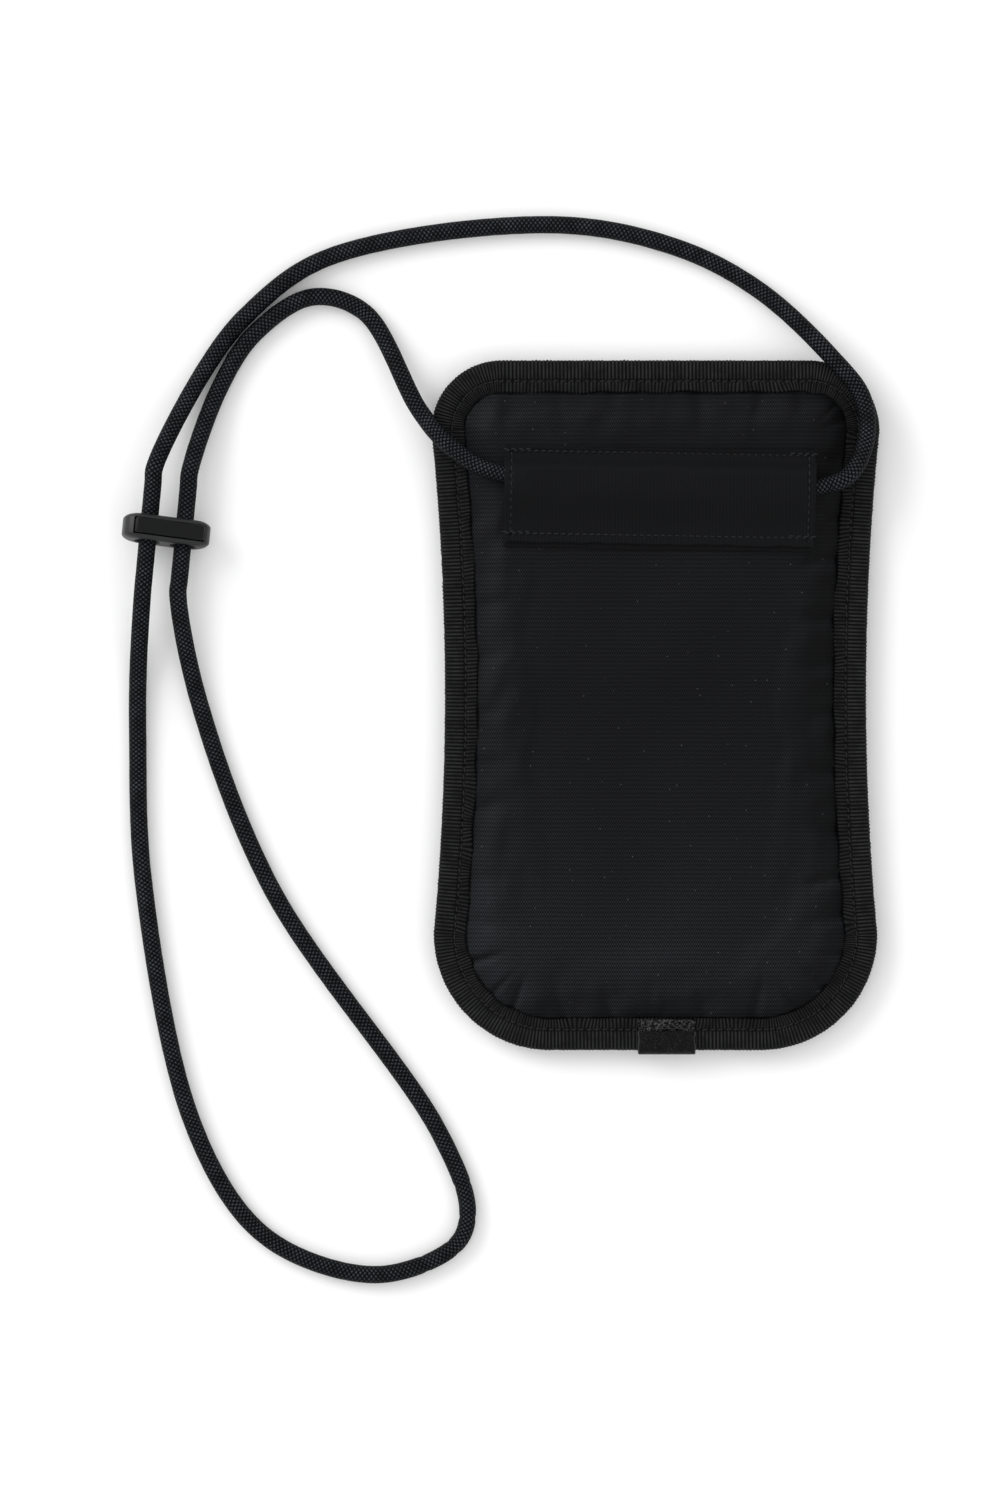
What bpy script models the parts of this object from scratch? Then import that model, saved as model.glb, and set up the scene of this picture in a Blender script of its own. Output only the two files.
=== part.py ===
"""Neck pouch wallet: a padded fabric pouch with a zipped pocket, worn on a braided cord with a cord lock.

Metres, +Z up. The pouch lies on its zipped front face. The origin is under the middle of the pouch, on the
surface that it lies on. +Y points to the top of the pouch and +X to its right, seen from above.
"""

import math

import bmesh
import bpy
from mathutils import Matrix, Vector

MM = 0.001
SMOOTH_ANGLE = math.radians(35)
QUARTER_TURN = math.radians(90)
# Stands a plate up so that its outline is seen along X, and its thickness runs along X
ACROSS = Matrix.Rotation(QUARTER_TURN, 4, "Z") @ Matrix.Rotation(QUARTER_TURN, 4, "X")

# --- Pouch outline --------------------------------------------------------------------------------
POUCH_LENGTH = 178.4 * MM
POUCH_WIDTH = 108.8 * MM  # at the waist, the narrowest place
WAIST_Y = 3.0 * MM
WAIST_FLARE = 0.75  # 1/m: the side moves out by this times the squared distance from the waist
TOP_RADIUS = 18.0 * MM
BOTTOM_RADIUS = 30.0 * MM
CORNER_STEPS = 6
SIDE_STEPS = 5
SHARP_RADIUS = 0.6 * MM  # corners of a panel that is cut off along the zip

# --- Layers, from the outside in ------------------------------------------------------------------
GAP = 0.3 * MM  # between pieces that touch
TWILL = 0.6 * MM
PADDING = 2.0 * MM
LINING = 0.4 * MM
TAPE = 0.6 * MM  # grosgrain binding

# --- Edge binding ---------------------------------------------------------------------------------
BINDING_WIDTH = 8.3 * MM
BINDING_BOTTOM = 3.0 * MM
BINDING_CHAMFER = 0.6 * MM

# --- Fullness: how far each face stands away from the binding -------------------------------------
BACK_RISE = 5.6 * MM
FRONT_DROP = BINDING_BOTTOM + TAPE + GAP  # brings the middle of the front face down to z = 0
SLOPE_START = BINDING_WIDTH + GAP
SLOPE_WIDTH = 15.4 * MM
LINING_INSET = 14.5 * MM  # linings and padding start here, inside the binding
BACK_PROFILE = ((0.0, 0.0), (0.125, 0.36), (0.285, 0.66), (0.545, 0.89), (1.0, 1.0))
FRONT_PROFILE = ((0.0, 0.0), (0.125, 0.23), (0.285, 0.49), (0.545, 0.80), (1.0, 1.0))

# --- Zip ------------------------------------------------------------------------------------------
ZIP_Y = 64.0 * MM
ZIP_WINDOW = 8.0 * MM
ZIP_FALL = 22.0 * MM  # the lower front panel reaches its full depth this far below the zip
ZIP_TAPE = 0.5 * MM
ZIP_TAPE_WIDTH = 9.8 * MM
ZIP_TAPE_END = 9.8 * MM  # from the outer edge, where there is room under the back panel
CHAIN_HALF_LENGTH = 42.0 * MM
COIL_WIDTH = 2.2 * MM
COIL_HEIGHT = 1.5 * MM
TOOTH_PITCH = 3.0 * MM
TOOTH_REACH = 0.8 * MM
SLIDER_X = 37.5 * MM
SLIDER_LENGTH = 8.5 * MM
SLIDER_WALL = 0.7 * MM
SLIDER_SIDE_WALL = 0.6 * MM
SLIDER_TAPE_GAP = 0.1 * MM  # the side walls end this far below the coil's top, clear of the tape
BAIL_LENGTH = 6.2 * MM
BAIL_WIDTH = 1.2 * MM
BAIL_LEG = 1.0 * MM
BAIL_BAR = 0.6 * MM
BAIL_DEPTH = 1.65 * MM
PULL_LENGTH = 22.0 * MM
PULL_NECK = 3.4 * MM
PULL_WIDTH = 6.0 * MM
PULL_THICKNESS = 0.6 * MM
PULL_PIN = 0.6 * MM
PULL_WEB = 1.0 * MM  # metal between the hole and the neck's end
PULL_TAPER = 2.0 * MM  # length over which the neck widens, and the size of the cut corners
PULL_HOLE_SLACK = 0.8 * MM  # the hole is longer than the bail by this
PULL_DROP = 0.55 * MM  # from the slider's plate to the middle of the pull
STOP_LENGTH = 1.5 * MM

# --- Cord tunnel ----------------------------------------------------------------------------------
TUNNEL_LENGTH = 80.4 * MM
TUNNEL_WIDTH = 24.7 * MM
TUNNEL_X = 1.0 * MM
TUNNEL_Y = 53.9 * MM
TUNNEL_TURN = math.radians(-1.0)
TUNNEL_SHEET = 0.6 * MM
UNDER_SHEET = 0.5 * MM
UNDER_LIP = 0.8 * MM  # the lower layer shows below the cover
SEAM_TOP = 1.8 * MM
SEAM_BOTTOM = 3.8 * MM
TUNNEL_CORD_Y = 3.8 * MM  # cord's middle above the tunnel's middle
TUNNEL_FLAT = 5.2 * MM  # flat top of the arch over the cord

# --- Cord -----------------------------------------------------------------------------------------
CORD_DIAMETER = 4.6 * MM
CORD_SAMPLES = 80
CORD_END_GAP = 0.3 * MM

# --- Cord lock ------------------------------------------------------------------------------------
LOCK_X = -126.75 * MM
LOCK_Y = 45.05 * MM
LOCK_Z = 7.4 * MM  # middle of the line between the two bores
LOCK_YAW = math.radians(-5.5)
LOCK_ROLL = math.radians(-8.0)
LOCK_PITCH = math.radians(13.0)
LOCK_LENGTH = 22.8 * MM
LOCK_DEPTH = 6.8 * MM
LOCK_WALL = 0.8 * MM
LOCK_TOP = 4.4 * MM  # above the bores' middle
LOCK_TOP_RADIUS = 3.6 * MM
LOCK_BOTTOM_RADIUS = 4.8 * MM
LOCK_ROUNDING = 0.9 * MM
BORE_DIAMETER = 6.2 * MM
BORE_SPACING = 9.4 * MM
BUTTON_LENGTH = 18.2 * MM
BUTTON_DEPTH = 3.9 * MM
BUTTON_PROUD = 1.3 * MM
BUTTON_TRAVEL = 1.2 * MM
BUTTON_STRAP = 0.7 * MM  # below the cord
BUTTON_CLEARANCE = 0.25 * MM
SLOT_FLAT = 0.01 * MM  # keeps the slot's rounded corners apart, so that no two points meet
BUTTON_STOP = 0.1 * MM  # left under the button when it is pressed right in
BUTTON_LOW_RADIUS = 0.4 * MM
BUTTON_TOP_RADIUS = 0.9 * MM
CAVITY_OVERCUT = 1.0 * MM
SPRING_DIAMETER = 2.4 * MM
SPRING_WIRE = 0.35 * MM
SPRING_TURNS = 5
SPRING_POCKET = 4.6 * MM
SPRING_CLEARANCE = 0.3 * MM

# --- Leather tab ----------------------------------------------------------------------------------
TAB_WIDTH = 14.8 * MM
TAB_X = 2.9 * MM
TAB_REACH = 7.8 * MM  # inwards from the pouch's edge
TAB_THICKNESS = 1.0 * MM
TAB_FOLD_RADIUS = 1.3 * MM

# --- Heights that follow from the values above ----------------------------------------------------
FRONT_RIM = BINDING_BOTTOM + TAPE + GAP  # lower face of the front panels inside the binding
BACK_RIM = FRONT_RIM + TWILL + GAP + TWILL  # upper face of the back panel inside the binding
BINDING_TOP = BACK_RIM + GAP + TAPE
BACK_TOP = BACK_RIM + BACK_RISE
TAPE_Z = FRONT_RIM + TWILL + GAP
COIL_TOP = TAPE_Z - GAP
COIL_BOTTOM = COIL_TOP - COIL_HEIGHT
SLIDER_TOP = COIL_BOTTOM - GAP
SLIDER_BOTTOM = SLIDER_TOP - SLIDER_WALL
UNDER_Z = BACK_TOP + GAP
SEAM_Z = UNDER_Z + UNDER_SHEET + GAP
LOCK_BOTTOM = CORD_DIAMETER / 2 + GAP + BUTTON_STRAP + BUTTON_TRAVEL + BUTTON_STOP + LOCK_WALL

# --- Cord's route, in mm -----------------------------------------------------------------------------
# Chosen by hand: from the tunnel's middle out of its right mouth, round the loop, down through the lock's
# left bore, back up through its right bore and in at the tunnel's left mouth. In each bore the cord runs
# straight, because four points lie in line there.
CORD_ROUTE = (
    (0.95, 57.7, 14.3), (41.4, 56.4, 14.4), (49.6, 59.2, 13.3), (54.4, 68.8, 10.3), (53.6, 79.4, 9.0),
    (45.6, 90.0, 8.6), (26.6, 107.9, 2.7), (5.2, 118.9, 2.35), (-27.0, 124.7, 2.35), (-85.7, 115.9, 2.35),
    (-105.8, 101.5, 2.35), (-116.4, 87.8, 2.9), (-129.72, 61.5, 8.45), (-130.10, 57.5, 8.45),
    (-132.40, 33.6, 8.45), (-132.78, 29.6, 8.45), (-134.1, 10.0, 3.7), (-134.3, -8.0, 2.4),
    (-132.9, -45.0, 2.35), (-120.8, -106.4, 2.35), (-106.0, -133.3, 2.35), (-91.0, -143.6, 2.35),
    (-70.0, -147.6, 2.35), (-51.6, -139.8, 2.35), (-48.7, -131.0, 2.35), (-56.2, -110.6, 2.35),
    (-99.4, -47.9, 2.4), (-118.4, 1.0, 2.85), (-123.74, 28.6, 6.35), (-123.36, 32.6, 6.35),
    (-121.05, 56.5, 6.35), (-120.67, 60.5, 6.35), (-113.2, 82.0, 2.7), (-104.2, 96.2, 2.4),
    (-89.2, 105.9, 2.45), (-75.5, 102.0, 2.6), (-61.2, 76.4, 7.8), (-53.6, 67.3, 12.0), (-41.8, 60.2, 14.2),
    (0.95, 57.7, 14.3),
)


def clear_scene():
    """Remove every object, so that the script can be run again."""
    for obj in list(bpy.data.objects):
        bpy.data.objects.remove(obj, do_unlink=True)


def make_collection(name):
    """A new collection in the scene."""
    collection = bpy.data.collections.new(name)
    bpy.context.scene.collection.children.link(collection)
    return collection


def make_material(name, colour, roughness, metallic=0.0):
    """A Principled material of one colour."""
    material = bpy.data.materials.new(name)
    material.use_nodes = True
    shader = material.node_tree.nodes["Principled BSDF"]
    shader.inputs["Base Color"].default_value = (*colour, 1.0)
    shader.inputs["Roughness"].default_value = roughness
    shader.inputs["Metallic"].default_value = metallic
    return material


def mesh_object(name, bm, collection, material=None):
    """An object from a bmesh, which is used up."""
    bmesh.ops.recalc_face_normals(bm, faces=bm.faces)
    mesh = bpy.data.meshes.new(name)
    bm.to_mesh(mesh)
    bm.free()
    obj = bpy.data.objects.new(name, mesh)
    if material:
        mesh.materials.append(material)
    collection.objects.link(obj)
    return obj


def shade_smooth(obj, angle=SMOOTH_ANGLE):
    """Shade a round piece smooth, with its edges above an angle kept sharp."""
    obj.data.shade_smooth()
    obj.data.set_sharp_from_angle(angle=angle)


def flat_plate(name, outlines, thickness, collection, material=None):
    """A filled 2D curve, extruded by half its thickness each way, as a welded mesh. Later outlines are
    holes."""
    curve = bpy.data.curves.new(name, "CURVE")
    curve.dimensions = "2D"
    curve.fill_mode = "BOTH"
    curve.extrude = thickness / 2
    for outline in outlines:
        spline = curve.splines.new("POLY")
        spline.points.add(len(outline) - 1)
        for point, (x, y) in zip(spline.points, outline):
            point.co = (x, y, 0.0, 1.0)
        spline.use_cyclic_u = True
    source = bpy.data.objects.new(name + "_curve", curve)
    collection.objects.link(source)
    mesh = bpy.data.meshes.new_from_object(source.evaluated_get(bpy.context.evaluated_depsgraph_get()))
    bpy.data.objects.remove(source, do_unlink=True)
    bm = bmesh.new()
    bm.from_mesh(mesh)
    bpy.data.meshes.remove(mesh)
    bmesh.ops.remove_doubles(bm, verts=bm.verts, dist=1e-6)
    return mesh_object(name, bm, collection, material)


def box(name, low, high, collection, material=None):
    """A box between two corners."""
    bm = bmesh.new()
    size = Vector(high) - Vector(low)
    middle = (Vector(high) + Vector(low)) / 2
    bmesh.ops.create_cube(bm, size=1.0, matrix=Matrix.Translation(middle) @ Matrix.Diagonal((*size, 1.0)))
    return mesh_object(name, bm, collection, material)


def cut(target, cutter, hidden):
    """Cut a piece with a cutter, which is kept out of sight in its own collection."""
    for collection in list(cutter.users_collection):
        collection.objects.unlink(cutter)
    hidden.objects.link(cutter)
    cutter.hide_render = True
    cutter.display_type = "WIRE"
    modifier = target.modifiers.new("cut_" + cutter.name, "BOOLEAN")
    modifier.operation = "DIFFERENCE"
    modifier.solver = "EXACT"
    modifier.object = cutter


def join(target, tool, hidden):
    """Join a second body to a piece with a union."""
    cut(target, tool, hidden)
    target.modifiers[-1].operation = "UNION"


def arc(centre_x, centre_y, radius, start, end, steps):
    """Points on an arc, angles in degrees, both ends included."""
    angles = [math.radians(start + (end - start) * k / steps) for k in range(steps + 1)]
    return [(centre_x + radius * math.cos(a), centre_y + radius * math.sin(a)) for a in angles]


def rounded_box(left, bottom, right, top, low_radius, high_radius, steps=4):
    """A rectangle with one radius at its lower corners and another at its upper ones."""
    return (
        arc(right - low_radius, bottom + low_radius, low_radius, -90, 0, steps)
        + arc(right - high_radius, top - high_radius, high_radius, 0, 90, steps)
        + arc(left + high_radius, top - high_radius, high_radius, 90, 180, steps)
        + arc(left + low_radius, bottom + low_radius, low_radius, 180, 270, steps)
    )


def half_width(y):
    """Half the pouch's width at y: narrowest at the waist, wider towards both ends."""
    return POUCH_WIDTH / 2 + WAIST_FLARE * (y - WAIST_Y) ** 2


def pouch_outline(inset, top=None, top_radius=None, bottom=None, bottom_radius=None):
    """The pouch's outline moved inwards, always with the same number of points. A panel that is cut off along
    the zip gives its own top or bottom."""
    high = POUCH_LENGTH / 2 - inset if top is None else top
    low = -POUCH_LENGTH / 2 + inset if bottom is None else bottom
    radius_high = max(TOP_RADIUS - inset, SHARP_RADIUS) if top_radius is None else top_radius
    radius_low = max(BOTTOM_RADIUS - inset, SHARP_RADIUS) if bottom_radius is None else bottom_radius
    start, end = low + radius_low, high - radius_high
    heights = [start + (end - start) * k / SIDE_STEPS for k in range(1, SIDE_STEPS)]
    lower = arc(half_width(start) - inset - radius_low, start, radius_low, -90, 0, CORNER_STEPS)
    upper = arc(half_width(end) - inset - radius_high, end, radius_high, 0, 90, CORNER_STEPS)
    right = lower + [(half_width(y) - inset, y) for y in heights] + upper
    return right + [(-x, y) for x, y in reversed(right)]


def profile(table, share):
    """Read a profile of (share of the slope, share of the height) by straight lines."""
    for (s0, h0), (s1, h1) in zip(table, table[1:]):
        if share <= s1:
            return h0 + (h1 - h0) * (share - s0) / (s1 - s0)
    return table[-1][1]


def slope_share(inset):
    """How far a place lies along the slope, from 0 at the binding to 1 at the flat middle."""
    return min(max((inset - SLOPE_START) / SLOPE_WIDTH, 0.0), 1.0)


def back_height(inset):
    """Upper face of the back panel."""
    return BACK_RIM + BACK_RISE * profile(BACK_PROFILE, slope_share(inset))


def front_height(inset):
    """Lower face of the front panel."""
    return FRONT_RIM - FRONT_DROP * profile(FRONT_PROFILE, slope_share(inset))


def layer(name, sections, thickness, collection, material):
    """A closed sheet: rings of points with a face across the last, extruded down by its thickness."""
    bm = bmesh.new()
    rings = [[bm.verts.new((x, y, z)) for x, y in outline] for outline, z in sections]
    for outer, inner in zip(rings, rings[1:]):
        for k in range(len(outer)):
            following = (k + 1) % len(outer)
            bm.faces.new((outer[k], outer[following], inner[following], inner[k]))
    bm.faces.new(rings[-1])
    top = list(bm.faces)
    extruded = bmesh.ops.extrude_face_region(bm, geom=top, use_keep_orig=True)["geom"]
    lower = [item for item in extruded if isinstance(item, bmesh.types.BMVert)]
    bmesh.ops.translate(bm, verts=lower, vec=(0.0, 0.0, -thickness))
    sheet = mesh_object(name, bm, collection, material)
    shade_smooth(sheet)
    return sheet


def insets(first):
    """The insets of a layer's rings: its edge, the slope's knees and the flat middle."""
    knees = [SLOPE_START + SLOPE_WIDTH * share for share, _ in BACK_PROFILE]
    return [first] + [k for k in knees if k > first + GAP]


def back_layer(name, first, depth, thickness, parts, material):
    """A layer under the back panel's face, depth below it."""
    sections = [(pouch_outline(d), back_height(d) - depth) for d in insets(first)]
    return layer(name, sections, thickness, parts, material)


def front_layer(name, first, depth, thickness, parts, material):
    """A layer of the lower front, depth above its outer face. Below the zip it falls as at the sides."""
    edge = ZIP_Y - ZIP_WINDOW / 2
    sections = []
    for d in insets(first):
        top = edge - ZIP_FALL * slope_share(d)
        outline = pouch_outline(d, top=top, top_radius=SHARP_RADIUS)
        sections.append((outline, front_height(d) + depth + thickness))
    return layer(name, sections, thickness, parts, material)


def make_pouch(parts, cloth, foam, lining, grosgrain):
    """The panels, padding, linings and edge binding."""
    edge = TAPE + GAP
    back_layer("back_panel", edge, 0.0, TWILL, parts, cloth)
    depth = TWILL + GAP
    back_layer("back_padding", LINING_INSET, depth, PADDING, parts, foam)
    depth += PADDING + GAP
    back_layer("back_lining", LINING_INSET, depth, LINING, parts, lining)
    front_layer("front_panel_lower", edge, 0.0, TWILL, parts, cloth)
    front_layer("front_lining", LINING_INSET, TWILL + GAP, LINING, parts, lining)
    strip = pouch_outline(edge, bottom=ZIP_Y + ZIP_WINDOW / 2, bottom_radius=SHARP_RADIUS)
    upper = flat_plate("front_panel_upper", [strip], TWILL, parts, cloth)
    upper.location.z = FRONT_RIM + TWILL / 2
    make_binding(parts, grosgrain)


def make_binding(parts, grosgrain):
    """The binding: a U section that follows the outline and closes on itself."""
    chamfer = BINDING_CHAMFER
    section = (
        (BINDING_WIDTH, BINDING_TOP), (chamfer, BINDING_TOP), (0.0, BINDING_TOP - chamfer),
        (0.0, BINDING_BOTTOM + chamfer), (chamfer, BINDING_BOTTOM), (BINDING_WIDTH, BINDING_BOTTOM),
        (BINDING_WIDTH, BINDING_BOTTOM + TAPE), (TAPE, BINDING_BOTTOM + TAPE), (TAPE, BINDING_TOP - TAPE),
        (BINDING_WIDTH, BINDING_TOP - TAPE),
    )
    bm = bmesh.new()
    rings = [[bm.verts.new((x, y, z)) for x, y in pouch_outline(inset)] for inset, z in section]
    for outer, inner in zip(rings, rings[1:] + rings[:1]):
        for k in range(len(outer)):
            following = (k + 1) % len(outer)
            bm.faces.new((outer[k], outer[following], inner[following], inner[k]))
    shade_smooth(mesh_object("edge_binding", bm, parts, grosgrain))


def tooth_row(side):
    """Outline of one row of teeth. Side is 1 for the upper row and -1 for the lower one. A row's teeth stand
    between the other row's, with a gap all round."""
    tooth = TOOTH_PITCH / 2 - GAP
    shift = 0.0 if side > 0 else TOOTH_PITCH / 2
    inner = ZIP_Y + side * (TOOTH_REACH / 2 + GAP / 2)
    tip = ZIP_Y - side * (TOOTH_REACH / 2 - GAP / 2)
    outer = ZIP_Y + side * (COIL_WIDTH + GAP / 2)
    count = int((2 * CHAIN_HALF_LENGTH - TOOTH_PITCH) / TOOTH_PITCH)
    points = [(-CHAIN_HALF_LENGTH, outer), (-CHAIN_HALF_LENGTH, inner)]
    for k in range(count):
        left = -CHAIN_HALF_LENGTH + TOOTH_PITCH / 4 + shift + k * TOOTH_PITCH
        points += [(left, inner), (left, tip), (left + tooth, tip), (left + tooth, inner)]
    return points + [(CHAIN_HALF_LENGTH, inner), (CHAIN_HALF_LENGTH, outer)]


def make_zip(parts, hidden, tape, coil, metal):
    """The zip's tapes, rows of teeth and stops."""
    tape_half = half_width(ZIP_Y - ZIP_TAPE_WIDTH) - ZIP_TAPE_END
    for word, side in (("upper", 1), ("lower", -1)):
        near = ZIP_Y + side * GAP / 2
        far = near + side * ZIP_TAPE_WIDTH
        low, high = min(near, far), max(near, far)
        box("zip_tape_" + word, (-tape_half, low, TAPE_Z), (tape_half, high, TAPE_Z + ZIP_TAPE), parts, tape)
        row = flat_plate("zip_coil_" + word, [tooth_row(side)], COIL_HEIGHT, parts, coil)
        row.location.z = (COIL_TOP + COIL_BOTTOM) / 2
    half = COIL_WIDTH + GAP / 2
    for word, side in (("closed", 1), ("open", -1)):
        near = side * (CHAIN_HALF_LENGTH + 2 * GAP)
        far = near + side * STOP_LENGTH
        low = (min(near, far), ZIP_Y - half, COIL_BOTTOM)
        high = (max(near, far), ZIP_Y + half, COIL_TOP)
        box("zip_stop_" + word, low, high, parts, metal)
    make_slider(parts, hidden, metal)


def make_slider(parts, hidden, metal):
    """The slider, a channel round the teeth with a bail under it, and the pull that swings on the bail."""
    axis = bpy.data.objects.new("zip_slider_axis", None)
    axis.location = (SLIDER_X, ZIP_Y, SLIDER_BOTTOM)
    parts.objects.link(axis)
    inside = COIL_WIDTH + GAP / 2 + GAP
    outside = inside + SLIDER_SIDE_WALL
    wall_top = COIL_TOP - SLIDER_BOTTOM - SLIDER_TAPE_GAP
    plate = SLIDER_WALL
    channel = [
        (-outside, 0.0), (outside, 0.0), (outside, wall_top), (inside, wall_top), (inside, plate),
        (-inside, plate), (-inside, wall_top), (-outside, wall_top),
    ]
    slider = flat_plate("zip_slider", [channel], SLIDER_LENGTH, parts, metal)
    slider.rotation_euler = (QUARTER_TURN, 0.0, QUARTER_TURN)
    slider.parent = axis
    half = BAIL_LENGTH / 2
    overlap = plate / 2
    bail = [
        (-half, overlap), (-half, -BAIL_DEPTH), (half, -BAIL_DEPTH), (half, overlap),
        (half - BAIL_LEG, overlap), (half - BAIL_LEG, -BAIL_DEPTH + BAIL_BAR),
        (-half + BAIL_LEG, -BAIL_DEPTH + BAIL_BAR), (-half + BAIL_LEG, overlap),
    ]
    arch = flat_plate("slider_bail", [bail], BAIL_WIDTH, parts)
    arch.rotation_euler = (QUARTER_TURN, 0.0, 0.0)
    arch.parent = axis
    join(slider, arch, hidden)
    neck, wide, slot = PULL_NECK / 2, PULL_WIDTH / 2, BAIL_WIDTH / 2 + GAP
    near = PULL_PIN / 2
    slot_end = -half - PULL_HOLE_SLACK
    neck_end = slot_end - PULL_WEB
    shoulder = neck_end - PULL_TAPER
    tip, corner = -PULL_LENGTH, PULL_TAPER
    outline = [
        (near, -neck), (near, neck), (neck_end, neck), (shoulder, wide), (tip + corner, wide),
        (tip, wide - corner), (tip, -wide + corner), (tip + corner, -wide), (shoulder, -wide),
        (neck_end, -neck),
    ]
    hole = [(-near, -slot), (slot_end, -slot), (slot_end, slot), (-near, slot)]
    pull = flat_plate("zip_pull", [outline, hole], PULL_THICKNESS, parts, metal)
    pull.location.z = -PULL_DROP
    pull.parent = axis


def make_tunnel(parts, cloth):
    """The cord tunnel: a flat lower layer and a cover that is seamed to it above and below the cord."""
    half, low, high = TUNNEL_LENGTH / 2, -TUNNEL_WIDTH / 2, TUNNEL_WIDTH / 2
    place = Matrix.Translation((TUNNEL_X, TUNNEL_Y, 0.0)) @ Matrix.Rotation(TUNNEL_TURN, 4, "Z")
    under_low, under_high = (-half, low - UNDER_LIP, UNDER_Z), (half, high, UNDER_Z + UNDER_SHEET)
    under = box("tunnel_under_layer", under_low, under_high, parts, cloth)
    under.matrix_world = place
    roof = SEAM_Z + CORD_DIAMETER + GAP
    right, left = TUNNEL_CORD_Y + TUNNEL_FLAT / 2, TUNNEL_CORD_Y - TUNNEL_FLAT / 2
    line = [
        (low, SEAM_Z), (low + SEAM_BOTTOM, SEAM_Z), (left, roof), (right, roof), (high - SEAM_TOP, SEAM_Z),
        (high, SEAM_Z),
    ]
    section = line + [(y, z + TUNNEL_SHEET) for y, z in reversed(line)]
    cover = flat_plate("tunnel_cover", [section], TUNNEL_LENGTH, parts, cloth)
    cover.matrix_world = place @ ACROSS
    shade_smooth(cover)


def smooth_path(points, count):
    """Evenly spaced points on a centripetal Catmull-Rom curve through the given points."""
    nodes = [2 * points[0] - points[1]] + points + [2 * points[-1] - points[-2]]
    dense = []
    for before, start, end, after in zip(nodes, nodes[1:], nodes[2:], nodes[3:]):
        knots = [0.0]
        for a, b in ((before, start), (start, end), (end, after)):
            knots.append(knots[-1] + math.sqrt((b - a).length))
        steps = 16
        for step in range(steps):
            t = knots[1] + (knots[2] - knots[1]) * step / steps
            dense.append(blend_knots((before, start, end, after), knots, t))
    dense.append(points[-1])
    travelled = [0.0]
    for a, b in zip(dense, dense[1:]):
        travelled.append(travelled[-1] + (b - a).length)
    result, at = [], 0
    for k in range(count):
        target = travelled[-1] * k / (count - 1)
        while at < len(travelled) - 2 and travelled[at + 1] < target:
            at += 1
        share = (target - travelled[at]) / (travelled[at + 1] - travelled[at])
        result.append(dense[at].lerp(dense[at + 1], share))
    return result


def blend_knots(control, knots, t):
    """One point of a Catmull-Rom curve by the Barry-Goldman pyramid."""
    level = list(control)
    for width in (1, 2, 3):
        upper = []
        for k in range(len(level) - 1):
            low, high = k, k + width
            if width == 3:
                low, high = 1, 2
            elif width == 2:
                low, high = k, k + 2
            share = (t - knots[low]) / (knots[high] - knots[low])
            upper.append(level[k] * (1 - share) + level[k + 1] * share)
        level = upper
    return level[0]


def make_cord(parts, braid):
    """The neck cord. Its two ends meet in the tunnel, with a small gap."""
    route = [Vector(point) * MM for point in CORD_ROUTE]
    route[0].x += CORD_END_GAP / 2
    route[-1].x -= CORD_END_GAP / 2
    curve = bpy.data.curves.new("neck_cord", "CURVE")
    curve.dimensions = "3D"
    curve.bevel_depth = CORD_DIAMETER / 2
    curve.bevel_resolution = 2
    curve.use_fill_caps = True
    path = smooth_path(route, CORD_SAMPLES)
    spline = curve.splines.new("POLY")
    spline.points.add(len(path) - 1)
    for point, place in zip(spline.points, path):
        point.co = (*place, 1.0)
    cord = bpy.data.objects.new("neck_cord", curve)
    curve.materials.append(braid)
    parts.objects.link(cord)


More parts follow.
